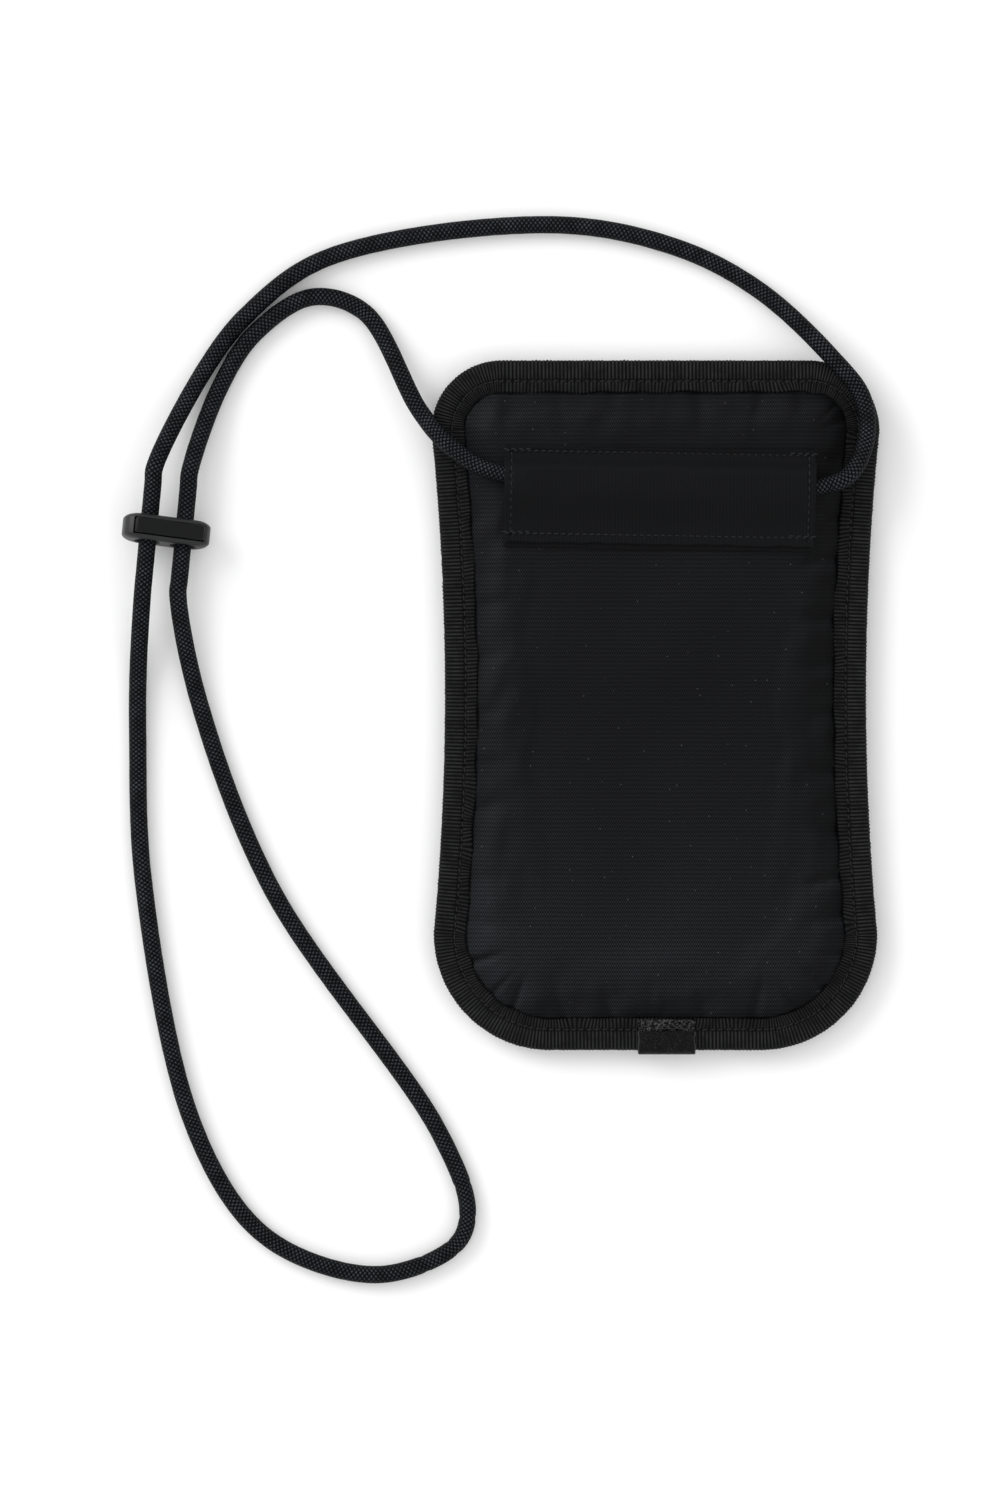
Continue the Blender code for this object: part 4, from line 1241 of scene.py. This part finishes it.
@dataclass
class EdgeBinding:
    """Grosgrain tape folded over the edge all round, with its seam."""

    form: PouchForm
    rib: float = 0.95 * MM
    samples: int = 4
    seam: float = 5.2 * MM
    relief: float = 0.20 * MM
    stitch: float = 2.0 * MM
    thread: float = 0.32 * MM
    tape: float = 0.6 * MM
    groove: float = 0.36 * MM
    bulge: float = 0.18 * MM
    crinkle: float = 0.16 * MM
    waver: float = 0.28 * MM

    def section(self) -> tuple[Array, Array, Array]:
        """The U section: (inset, level) of each point, the direction of its outer side, and how far it lies
        across the tape. It runs from the upper inner edge round the outside to the lower one, and back."""
        low, high = self.form.rim
        bend = 1.2 * MM
        width = self.form.tape_width
        top = [(inset, high) for inset in np.linspace(width, bend, 13)]
        upper = arc((bend, high - bend), bend, 90, 180, 4)[1:].tolist()
        lower = arc((bend, low + bend), bend, 180, 270, 4).tolist()
        bottom = [(inset, low) for inset in np.linspace(bend, width, 6)[1:]]
        inside = self.tape
        back = [
            (width, low + inside), (bend, low + inside), (inside, low + bend), (inside, high - bend),
            (bend, high - inside), (width * 0.5, high - inside), (width, high - inside),
        ]
        outer = np.array(top + upper + lower + bottom)
        normal = np.zeros_like(outer)
        normal[: len(top), 1] = 1
        normal[len(top) + len(upper) + len(lower) :, 1] = -1
        curve = outer[len(top) : len(top) + len(upper) + len(lower)]
        middle = np.stack([np.full(len(curve), bend), np.clip(curve[:, 1], low + bend, high - bend)], 1)
        normal[len(top) : len(top) + len(curve)] = unit(curve - middle)
        normal = np.vstack([normal, np.zeros((len(back), 2))])
        line = np.vstack([outer, back])
        across = np.concatenate([[0.0], np.cumsum(np.linalg.norm(np.diff(line, axis=0), axis=1))])
        return line, normal, across

    def build(self, wardrobe: Wardrobe) -> list[bpy.types.Object]:
        """Carry the section round the outline. A rib's height is a cosine of its count, which drifts a
        little across the tape. Along the seam the tape is drawn down, and inside it the tape crinkles."""
        _, _, length = self.form.outline(800)
        ribs = round(length / self.rib)
        count = ribs * self.samples
        points, outward, length = self.form.outline(count)
        line, normal, across = self.section()
        along = np.arange(count) / count * length
        inset = np.broadcast_to(line[:, 0], (count, len(line)))
        upper = (normal[:, 1] > 0.9)[None]
        inner = rise(inset, self.seam - 0.3 * MM, self.seam + 0.6 * MM) * upper
        drift = wander(along, length, 90, 31)[:, None] * 0.35 + wander(along, length, 30, 32)[:, None] * 0.4
        slant = wander(along, length, 60, 33)[:, None] * inner * 0.55
        phase = (along / length * ribs)[:, None] + 0.12 * drift + slant * (inset - self.seam) / MM * 0.35
        crown = 0.5 + 0.5 * np.cos(TAU * phase)
        strength = (0.75 + 0.35 * wander(along, length, 200, 34))[:, None]
        proud = self.relief * crown * strength * (np.abs(normal).sum(1) > 0)[None]
        gather = (0.5 + 0.5 * np.cos(TAU * along * int(length / self.stitch) / length))[:, None]
        groove = bell(inset - self.seam, 0.50 * MM) * self.groove * upper * (0.6 + 0.9 * gather**2)
        bulge = bell(inset - (self.seam - 2.2 * MM), 2.0 * MM) * self.bulge * upper
        crinkle = wander(along, length, 260, 35)[:, None] * inner * self.crinkle
        edge = rise(inset, self.form.tape_width - 1.2 * MM, self.form.tape_width) * upper
        lift = edge * (0.04 + 0.14 * wander(along, length, 70, 36)[:, None]) * MM
        level = line[:, 1][None] + normal[:, 1][None] * (proud + bulge) - groove + crinkle + lift
        loose = rise(inset, self.seam, self.form.tape_width)
        wavy = wander(along, length, 55, 37)[:, None] * self.waver * loose
        moved = inset + wavy - 0.12 * MM + np.minimum(normal[:, 0], 0)[None] * proud
        place = points[:, None] - outward[:, None] * moved[..., None]
        shape = np.concatenate([place, level[..., None]], -1)
        marks = np.stack([phase, np.broadcast_to(across, phase.shape), inset / MM], -1)
        faces = grid_faces(count, len(line), wrap_rows=True, wrap_cols=True)
        binding = piece("edge_binding_tape", shape, faces, marks={"rib": marks}, flat_angle=None)
        dress(binding, wardrobe.binding, "pouch", ["edge_binding"])
        return [binding, self.sew(points, outward, length, wardrobe)]

    def sew(self, points: Array, outward: Array, length: float, wardrobe: Wardrobe) -> bpy.types.Object:
        """The seam round the binding, with stitches one length apart and small gaps between them."""
        total = int(length / self.stitch)
        at = (np.arange(total) + 0.5) / total * len(points)
        index = at.astype(int)
        outward = outward[index]
        random = np.random.default_rng(38)
        inset = self.seam + random.normal(0, 0.05, total) * MM
        level = np.full((total, 1), self.form.rim[1] - 0.16 * MM)
        place = np.hstack([points[index] - outward * inset[:, None], level])
        forward = np.stack([-outward[:, 1], outward[:, 0], np.zeros(total)], 1)
        seam = stitches("binding_seam", place, forward, self.stitch * 0.78, self.thread, slant=9)
        return dress(seam, wardrobe.thread, "pouch")


@dataclass
class CordTunnel:
    """The sewn patch over the cord, and the layer below it."""

    form: PouchForm
    length: float = 80.4 * MM
    width: float = 24.7 * MM
    middle: tuple[float, float] = (1.0 * MM, 53.9 * MM)
    turn: float = math.radians(-1.0)
    cloth: float = 0.6 * MM
    lip: float = 0.8 * MM
    seam_top: float = 1.1 * MM
    seam_bottom: float = 2.3 * MM
    seam_side: float = 1.75 * MM
    stitch: float = 1.8 * MM
    thread: float = 0.34 * MM
    groove: float = 0.40 * MM
    hem: float = 0.14 * MM
    wave: float = 0.05 * MM
    rows: int = 96
    cols: int = 220

    def placed(self, across: Array, up: Array, level: Array) -> Array:
        """Turn the patch's own coordinates about its middle and move them to it."""
        cosine, sine = math.cos(self.turn), math.sin(self.turn)
        x = self.middle[0] + across * cosine - up * sine
        y = self.middle[1] + across * sine + up * cosine
        return np.stack([x, y, level], -1)

    def level(self, across: Array, up: Array) -> Array:
        """Upper side of the cover: the seam's level, plus an arch over the cord between two smooth steps,
        a groove along each seam, thicker hems and small waves between stitches."""
        low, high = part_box("tunnel_cover")
        seam = low.z + self.cloth
        half, side = self.width / 2, self.length / 2
        arch = rise(up, -half + 2.6 * MM, 2.6 * MM) * (1 - rise(up, 6.0 * MM, half - 1.2 * MM))
        ends = 1 - 0.10 * bell(side - np.abs(across), 2.2 * MM)
        lines = (
            (half - self.seam_top) - up, up + half - self.seam_bottom, side - self.seam_side - np.abs(across)
        )
        ways = (across + side, across + side, up + half)
        gathers = [0.55 + 0.45 * np.cos(TAU * way / self.stitch) for way in ways]
        grooves = sum(bell(distance, 0.40 * MM) * gather for distance, gather in zip(lines, gathers))
        hem = 1 - rise(np.minimum(side - np.abs(across), half - np.abs(up)), 2.6 * MM, 3.3 * MM)
        waves = np.cos(TAU * across / self.stitch) * bell(half - np.abs(up), 1.6 * MM)
        waves = waves + np.cos(TAU * up / self.stitch) * bell(side - np.abs(across), 1.6 * MM)
        soft = ripple(across, up, 16 * MM, 41) * 0.22 * MM * rise(half - np.abs(up), 1 * MM, 6 * MM)
        return (
            seam + (high.z - low.z - self.cloth) * arch * ends - self.groove * grooves + self.hem * hem
            + self.wave * waves + soft
        )

    def build(self, wardrobe: Wardrobe) -> list[bpy.types.Object]:
        """Build the cover, the layer below it and the seams on all four sides."""
        half, side = self.width / 2, self.length / 2
        up, across = np.meshgrid(
            np.linspace(-half, half, self.rows), np.linspace(-side, side, self.cols), indexing="ij"
        )
        side_wave = 0.16 * MM * wander(up, self.width, 6, 42) * np.sign(across) * (np.abs(across) / side) ** 8
        end_wave = 0.14 * MM * wander(across, self.length, 16, 43) * np.sign(up) * (np.abs(up) / half) ** 8
        shape = self.placed(across + side_wave, up + end_wave, self.level(across, up))
        finish = (wardrobe.patch, "twill")
        cover = cloth("tunnel_cover_cloth", shape, self.cloth * 0.8, *finish, "tunnel_cover")
        low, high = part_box("tunnel_under_layer")
        up = -self.lip + up * (1 + self.lip / self.width)
        level = high.z + 0.06 * MM * ripple(across, up, 12 * MM, 44)
        shape = self.placed(across * 1.002, up + 0.12 * MM * wander(across, self.length, 20, 45), level)
        under = cloth("tunnel_under_layer_cloth", shape, high.z - low.z, *finish, "tunnel_under_layer")
        return [cover, under, self.sew(wardrobe)]

    def sew(self, wardrobe: Wardrobe) -> bpy.types.Object:
        """Seams along four sides, with a second row over each end of the long ones as tacks."""
        half, side = self.width / 2, self.length / 2
        top, bottom = half - self.seam_top, -half + self.seam_bottom
        runs = [((-side, level), (side, level)) for level in (top, bottom)]
        uprights = [end * (side - self.seam_side) for end in (-1, 1)]
        runs += [((x, bottom), (x, top)) for x in uprights]
        for level in (top, bottom):
            for end in (-1, 1):
                outer, inner = end * (side + 0.7 * MM), end * (side - 7 * MM)
                runs.append(((outer, level + 0.35 * MM), (inner, level + 0.45 * MM)))
        places, forwards = [], []
        for start, stop in runs:
            start, stop = np.array(start), np.array(stop)
            distance = float(np.linalg.norm(stop - start))
            share = (np.arange(int(distance / self.stitch)) + 0.5) / int(distance / self.stitch)
            flat = start + (stop - start) * share[:, None]
            level = self.level(flat[:, 0], flat[:, 1]) + 0.02 * MM
            places.append(self.placed(flat[:, 0], flat[:, 1], level))
            direction = (stop - start) / distance
            ahead = self.placed(flat[:, 0] + direction[0] * MM, flat[:, 1] + direction[1] * MM, level)
            forwards.append(ahead - places[-1])
        places, forwards = np.vstack(places), np.vstack(forwards)
        seam = stitches("tunnel_seams", places, forwards, self.stitch * 0.74, self.thread, slant=6)
        return dress(seam, wardrobe.thread, "pouch")


@dataclass
class NeckCord:
    """The braided cord: one loop whose ends meet in the tunnel."""

    finish: BraidFinish = BraidFinish("cord_braid")
    diameter: float = 4.6 * MM
    spacing: float = 0.36 * MM
    sides: int = 26
    braid_height: float = 0.04 * MM
    tighten: float = 0.06 * MM
    wobble: float = 0.006
    join_thinning: float = 0.03
    notch_depth: float = 0.07
    notch_width: float = 0.7 * MM
    join_start: tuple[float, float] = (-48.3 * MM, -123.8 * MM)
    join_end: tuple[float, float] = (-58.7 * MM, -147.9 * MM)

    # In metres: from the tunnel's middle out of its right mouth, round the loop, down through the
    # lock's left bore, up through its right bore and in at the tunnel's left mouth.
    route = (
        (0.0011, 0.0577, 0.0143), (0.0414, 0.0564, 0.0144), (0.0496, 0.0592, 0.0133),
        (0.0544, 0.0688, 0.0103), (0.0536, 0.0794, 0.0090), (0.0456, 0.0900, 0.0086),
        (0.0266, 0.1079, 0.0027), (0.0052, 0.1189, 0.00235), (-0.0270, 0.1247, 0.00235),
        (-0.0857, 0.1159, 0.00235), (-0.1058, 0.1015, 0.00235),
        (-0.1164, 0.0878, 0.0029), (-0.12972, 0.0615, 0.00845), (-0.13010, 0.0575, 0.00845),
        (-0.13240, 0.0336, 0.00845), (-0.13278, 0.0296, 0.00845), (-0.1341, 0.0100, 0.0037),
        (-0.1343, -0.0080, 0.0024), (-0.1329, -0.0450, 0.00235), (-0.1208, -0.1064, 0.00235),
        (-0.1060, -0.1333, 0.00235), (-0.0910, -0.1436, 0.00235), (-0.0700, -0.1476, 0.00235),
        (-0.0516, -0.1398, 0.00235), (-0.0487, -0.1310, 0.00235), (-0.0562, -0.1106, 0.00235),
        (-0.0994, -0.0479, 0.0024), (-0.1184, 0.0010, 0.00285), (-0.12374, 0.0286, 0.00635),
        (-0.12336, 0.0326, 0.00635), (-0.12105, 0.0565, 0.00635), (-0.12067, 0.0605, 0.00635),
        (-0.1132, 0.0820, 0.0027), (-0.1042, 0.0962, 0.0024), (-0.0892, 0.1059, 0.00245),
        (-0.0755, 0.1020, 0.0026), (-0.0612, 0.0764, 0.0078), (-0.0536, 0.0673, 0.0120),
        (-0.0418, 0.0602, 0.0142), (0.0008, 0.0577, 0.0143),
    )

    def build(self, wardrobe: Wardrobe) -> bpy.types.Object:
        """Carry a round section along the route. Its radius follows the braid's crossing strands, and where
        the loop is joined the cord is a little thinner, with four notches. It never dips under the floor."""
        dense = catmull_rom(np.array(self.route))
        _, length = resample(dense, 10)
        path, _ = resample(dense, int(length / self.spacing))
        path[:, 2] = np.maximum(path[:, 2], self.diameter / 2)
        along = np.linspace(0, length, len(path))
        turn = np.arange(self.sides) / self.sides
        strands, pitch = self.finish.strands, self.finish.pitch
        right = np.cos(TAU * strands * (along[:, None] / pitch + turn))
        left = np.cos(TAU * strands * (along[:, None] / pitch - turn))
        braid = self.braid_height * right * left
        wobble = 1 + self.wobble * np.clip(wander(along, length, 240, 51), -1.5, 1)
        ends = np.array([self.join_start, self.join_end])
        gaps = np.linalg.norm(path[None, :, :2] - ends[:, None], axis=2)
        first, last = sorted(along[gaps.argmin(1)])
        joint = rise(along, first - 0.6 * MM, first + 0.4 * MM)
        joint = joint * (1 - rise(along, last - 0.4 * MM, last + 0.6 * MM))
        third = (last - first) / 3
        places = (first, first + third, last - third, last)
        notches = sum(bell(along - place, self.notch_width) for place in places)
        radius = self.diameter / 2 * wobble * (1 - self.join_thinning * joint - self.notch_depth * notches)
        radius = radius[:, None] + braid - self.tighten
        around = np.broadcast_to(turn, (len(path), self.sides))
        marks = np.stack([np.broadcast_to(along[:, None], around.shape), around, np.zeros_like(around)], -1)
        cord = tube("neck_cord_braid", path, radius, self.sides, {"braid": marks})
        dress(cord, wardrobe.braid, "pouch", ["neck_cord"])
        self.declare(length)
        return cord

    def declare(self, length: float) -> None:
        """Log the cord's real length."""
        log.info("cord length %.1f mm", length / MM)


@dataclass
class CordLock:
    """The two-hole cord lock: a rounded shell and a long press button."""

    middle: tuple[float, float, float] = (-0.12675, 0.04505, 0.0074)
    yaw: float = math.radians(-5.5)
    roll: float = math.radians(-8.0)
    pitch: float = math.radians(13.0)
    length: float = 22.8 * MM
    depth: float = 6.8 * MM
    bottom: float = 5.4 * MM
    top: float = 4.4 * MM
    rounding: float = 1.5 * MM
    bore: float = 6.2 * MM
    spacing: float = 9.4 * MM
    button_length: float = 18.2 * MM
    button_depth: float = 3.9 * MM
    button_low: float = 3.3 * MM
    button_top: float = 5.7 * MM
    clearance: float = 0.28 * MM
    slot_radius: float = 2.6 * MM
    slot_top: float = 3.8 * MM

    @property
    def place(self) -> Matrix:
        """From the lock's own axes to the frame."""
        tilt = Matrix.Rotation(self.roll, 4, "X") @ Matrix.Rotation(self.pitch, 4, "Y")
        return Matrix.Translation(self.middle) @ Matrix.Rotation(self.yaw, 4, "Z") @ tilt

    def drill(self, x: float, radius: float, reach: float, flare: float) -> bpy.types.Object:
        """A cutter along y whose radius grows with the square of the distance past the middle part."""
        rings, sides, mouth = 25, 56, 0.7 * MM
        y = np.linspace(-reach, reach, rings)
        past = np.clip(np.abs(y) - (self.depth / 2 - mouth), 0, None)
        radius = radius + flare * (past / mouth) ** 2
        angle = TAU * np.arange(sides) / sides
        ring = np.stack([np.cos(angle), np.zeros(sides), np.sin(angle)], -1)
        line = np.stack([np.full(rings, x), y, np.zeros(rings)], -1)
        points = ring[None] * radius[:, None, None] + line[:, None]
        return piece("lock_drill", points, grid_faces(rings, sides, wrap_cols=True), end_caps(rings, sides))

    def build(self, wardrobe: Wardrobe) -> list[bpy.types.Object]:
        """Build the shell with its bores and cavity, and the button with its bevelled face and slots."""
        half = self.length / 2
        outline = rounded_outline((-half, -self.bottom), (half, self.top), (4.8 * MM, 3.6 * MM))
        shell = slab("cord_lock_shell", outline, self.depth, self.rounding, 9, ends=1.1)
        room, slack = self.button_length / 2 + self.clearance, self.button_depth / 2 + self.clearance
        floor, corner = -self.bottom + 0.8 * MM, 0.3 * MM
        cavity = rounded_outline((-room, floor), (room, self.top + MM), (corner, corner))
        centres = [side * self.spacing / 2 for side in (-1, 1)]
        bores = [self.drill(x, self.bore / 2, self.depth, 0.45 * MM) for x in centres]
        carve(shell, [slab("lock_room", cavity, 2 * slack, 0.3 * MM, 3), *bores])
        half = self.button_length / 2
        face = rounded_outline((-half, -self.button_low), (half, self.button_top), (0.4 * MM, 0.75 * MM))
        button = slab("cord_lock_press", face, self.button_depth, 0.5 * MM, 5)
        slots, radius = [], self.slot_radius
        for x in centres:
            slot = rounded_outline((x - radius, -radius), (x + radius, self.slot_top), (radius * 0.99,) * 2)
            slots.append(slab("press_slot", slot, self.button_depth * 2, 0.1 * MM, 2))
        carve(button, slots)
        for obj in (shell, button):
            obj.data.transform(self.place)
        dress(shell, wardrobe.lock, "cord_lock", ["cord_lock_body"])
        dress(button, wardrobe.button, "lock_button", ["cord_lock_button"])
        return [shell, button]


@dataclass
class LeatherTab:
    """The tab folded over the lower edge, sewn down along a crinkled strip."""

    form: PouchForm
    strip: float = 2.9 * MM
    leather: float = 1.0 * MM
    columns: int = 110
    thread: float = 0.36 * MM
    stitch_count: int = 6

    def profile(self) -> tuple[Array, Array]:
        """Outer line of the fold from the upper end round the edge to the lower end, and its inner line."""
        low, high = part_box("leather_tab")
        end, wall, over, under = high.y, low.y, high.z, low.z
        bend = 2.2 * MM
        top = np.stack([np.linspace(end, wall + bend, 60), np.full(60, over)], 1)
        upper = arc((wall + bend, over - bend), bend, 90, 180, 10)[1:]
        lower = arc((wall + bend, under + bend), bend, 180, 270, 10)
        bottom = np.stack([np.linspace(wall + bend, end, 20)[1:], np.full(19, under)], 1)
        outer = np.vstack([top, upper, lower, bottom])
        return outer, outer + leftward(np.gradient(outer, axis=0)) * self.leather * 0.9

    def build(self, wardrobe: Wardrobe) -> list[bpy.types.Object]:
        """Carry the fold's section across the tab. The sewn strip lies lower and is crinkled, the rest is
        crowned, and both side edges are rounded off."""
        low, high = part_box("leather_tab")
        outer, inner = self.profile()
        share = np.sin(np.linspace(-math.pi / 2, math.pi / 2, self.columns))
        x = (low.x + high.x) / 2 + share * (high.x - low.x) / 2
        count = len(outer)
        ring = np.vstack([outer, inner[::-1]])
        grid = np.broadcast_to(ring[None], (self.columns, 2 * count, 2)).copy()
        places = np.broadcast_to(x[:, None], grid.shape[:2]).copy()
        y = grid[:, :count, 0]
        across = places[:, :count]
        upper = rise(grid[:, :count, 1], (low.z + high.z) / 2, high.z - 0.3 * MM)
        sewn = rise(y, high.y - self.strip - 0.25 * MM, high.y - self.strip + 0.15 * MM)
        crinkle = ripple(across, y, 1.5 * MM, 61) * 0.20 + ripple(across, y, 0.8 * MM, 62) * 0.12
        folds = np.abs(ripple(across, y, 2.6 * MM, 63)) * 0.22
        pebble = ripple(across, y, 1.1 * MM, 64) * 0.03 + ripple(across, y, 4 * MM, 65) * 0.06
        crown = 0.28 * (1 - share[:, None] ** 2)
        lift = upper * (sewn * (-0.75 + crinkle + folds) + (1 - sewn) * (crown - 0.12 + pebble)) * MM
        brink = np.clip(1 - (1 - np.abs(share)) * (high.x - low.x) / 2 / (0.45 * MM), 0, 1)[:, None]
        away = unit(outer - inner)
        tuck = 0.42 * MM * (1 - np.sqrt(np.clip(1 - brink**2, 0, 1)))
        grid[:, :count] += away[None] * (-tuck)[..., None]
        grid[:, :count, 1] += lift
        side = 0.16 * MM * wander(y, high.y - low.y, 3, 66) * share[:, None] ** 9
        places[:, :count] += side
        points = np.stack([places, grid[..., 0], grid[..., 1]], -1)
        faces = grid_faces(self.columns, 2 * count, wrap_cols=True)
        caps = (np.arange(2 * count), (self.columns - 1) * 2 * count + np.arange(2 * count)[::-1])
        # First channel: the sewn strip. Second: the side edges, which the leather paints with a highlight.
        crush_and_edge_light = np.zeros((*points.shape[:2], 3))
        crush_and_edge_light[:, :count, 0] = sewn * upper
        crush_and_edge_light[:, :count, 1] = rise(np.abs(share), 0.955, 0.985)[:, None] * upper * (1 - sewn)
        tab = piece("leather_tab_fold", points, faces, caps, marks={"crush_and_edge_light": crush_and_edge_light})
        dress(tab, wardrobe.leather, "pouch", ["leather_tab"])
        total = self.stitch_count
        at = low.x + (np.arange(total) + 0.5) / total * (high.x - low.x)
        line, level = high.y - self.strip + 0.5 * MM, high.z - 0.5 * MM
        place = np.stack([at, np.full(total, line), np.full(total, level)], 1)
        forward = np.tile([1.0, 0.0, 0.0], (total, 1))
        seam = stitches("tab_seam", place, forward, 1.9 * MM, self.thread, slant=-8)
        return [tab, dress(seam, wardrobe.thread, "pouch")]


@dataclass
class FrontZip:
    """The zip on the hidden face: tapes, coils, stops, slider and pull."""

    tooth_pitch: float = 1.4 * MM
    wire: float = 0.62 * MM

    def tape(self, node: str, wardrobe: Wardrobe) -> bpy.types.Object:
        """One tape: flat, with a bead along both long edges."""
        low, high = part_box(node)
        rows, cols = 40, 200
        y, x = np.meshgrid(np.linspace(low.y, high.y, rows), np.linspace(low.x, high.x, cols), indexing="ij")
        beads = bell(y - low.y - 0.6 * MM, 0.35 * MM) + bell(high.y - 0.6 * MM - y, 0.35 * MM)
        level = high.z - 0.08 * MM + 0.08 * MM * beads
        points = np.stack([x, y, level], -1)
        return cloth(node + "_weave", points, high.z - low.z - 0.1 * MM, wardrobe.tape, "zip_tape", node)

    def coil(self, node: str, side: int, wardrobe: Wardrobe) -> bpy.types.Object:
        """One row of teeth: a flattened helix, x growing with the turn, y and z on an oval."""
        low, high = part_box(node)
        turns = round((high.x - low.x - self.wire) / self.tooth_pitch)
        angle = np.linspace(0, TAU * turns, turns * 16 + 1)
        middle, height = (low.y + high.y) / 2, (low.z + high.z) / 2
        x = low.x + self.wire / 2 + angle / TAU * self.tooth_pitch + (side > 0) * self.tooth_pitch / 2
        y = middle + ((high.y - low.y) - self.wire) / 2 * np.cos(angle)
        z = height + ((high.z - low.z) - self.wire) / 2 * np.sin(angle)
        path = np.stack([np.minimum(x, high.x - self.wire / 2), y, z], 1)
        row = tube(node + "_helix", path, np.full(len(path), self.wire / 2), 8)
        return dress(row, wardrobe.coil, "pouch", [node])

    def build(self, wardrobe: Wardrobe) -> list[bpy.types.Object]:
        """Build every piece of the zip."""
        made = [self.tape("zip_tape_upper", wardrobe), self.tape("zip_tape_lower", wardrobe)]
        made += [self.coil("zip_coil_upper", 1, wardrobe), self.coil("zip_coil_lower", -1, wardrobe)]
        for node in ("zip_stop_closed", "zip_stop_open", "zip_slider", "zip_pull"):
            body = "pouch" if "stop" in node else node
            part = softened(node, node + "_metal", 0.16 * MM)
            made.append(dress(part, wardrobe.metal, body, [node]))
        return made


@dataclass
class Studio:
    """White floor, soft light from the upper left and a long lens straight above."""

    middle: tuple[float, float] = (-40.3 * MM, -11.6 * MM)
    tall: float = 389.6 * MM
    distance: float = 2.4
    sensor: float = 36.0
    floor_size: float = 6.0
    key_place: tuple[float, float, float] = (-2.2, 1.6, 1.7)
    key_power: float = 50.0
    key_size: float = 1.8
    fill_place: tuple[float, float, float] = (2.0, -1.6, 2.0)
    fill_power: float = 8.0
    fill_size: float = 2.0
    sky: float = 0.98

    def lamp(self, name: str, place: tuple[float, float, float], size: float, power: float) -> None:
        """A square area lamp that faces the middle of the view."""
        data = bpy.data.lights.new(name, "AREA")
        data.size = size
        data.energy = power
        lamp = add(name, data)
        target = np.array([*self.middle, 0.0])
        heading = target - np.array(place)
        lamp.location = place
        lamp.rotation_euler = (
            math.atan2(math.hypot(heading[0], heading[1]), -heading[2]), 0.0,
            math.atan2(heading[1], heading[0]) - math.pi / 2,
        )

    def build(self) -> None:
        """Make the floor, the light and the camera."""
        half = self.floor_size / 2
        share = np.linspace(-half, half, 3)
        y, x = np.meshgrid(share, share, indexing="ij")
        floor = piece("floor", np.stack([x, y, np.zeros_like(x)], -1), grid_faces(3, 3), closed=False)
        paint = Paint("floor_white")
        mottle = paint.noise(paint.place(), 1 / 0.4, 2)
        white = paint.blend(mottle, grey(0.90), grey(0.94))
        floor.data.materials.append(paint.finish(Base_Color=white, Roughness=0.9, Specular_IOR_Level=0.1))
        self.lamp("key", self.key_place, self.key_size, self.key_power)
        self.lamp("fill", self.fill_place, self.fill_size, self.fill_power)
        world = bpy.data.worlds.new("studio")
        bpy.context.scene.world = world
        world.use_nodes = True
        background = world.node_tree.nodes["Background"]
        background.inputs["Color"].default_value = (1.0, 1.0, 1.0, 1.0)
        background.inputs["Strength"].default_value = self.sky
        data = bpy.data.cameras.new("camera")
        data.sensor_width = self.sensor
        data.lens = self.sensor * self.distance / self.tall
        camera = add("camera", data)
        camera.location = (*self.middle, self.distance)
        bpy.context.scene.camera = camera
        bpy.context.scene.view_settings.view_transform = "Standard"


def main() -> None:
    """Build the studio and every piece in order."""
    logging.basicConfig(level=logging.INFO, format="%(message)s", stream=sys.stdout)
    Studio().build()
    wardrobe = Wardrobe()
    form = PouchForm()
    CordLock().build(wardrobe)
    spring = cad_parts["cord_lock_spring"]
    spring.data.materials.clear()
    spring.data.materials.append(wardrobe.steel)
    NeckCord().build(wardrobe)
    InnerLayers(form).build(wardrobe)
    BackPanel(form).build(wardrobe)
    FrontPanels(form).build(wardrobe)
    FrontZip().build(wardrobe)
    EdgeBinding(form).build(wardrobe)
    CordTunnel(form).build(wardrobe)
    LeatherTab(form).build(wardrobe)


if __name__ == "__main__":
    main()
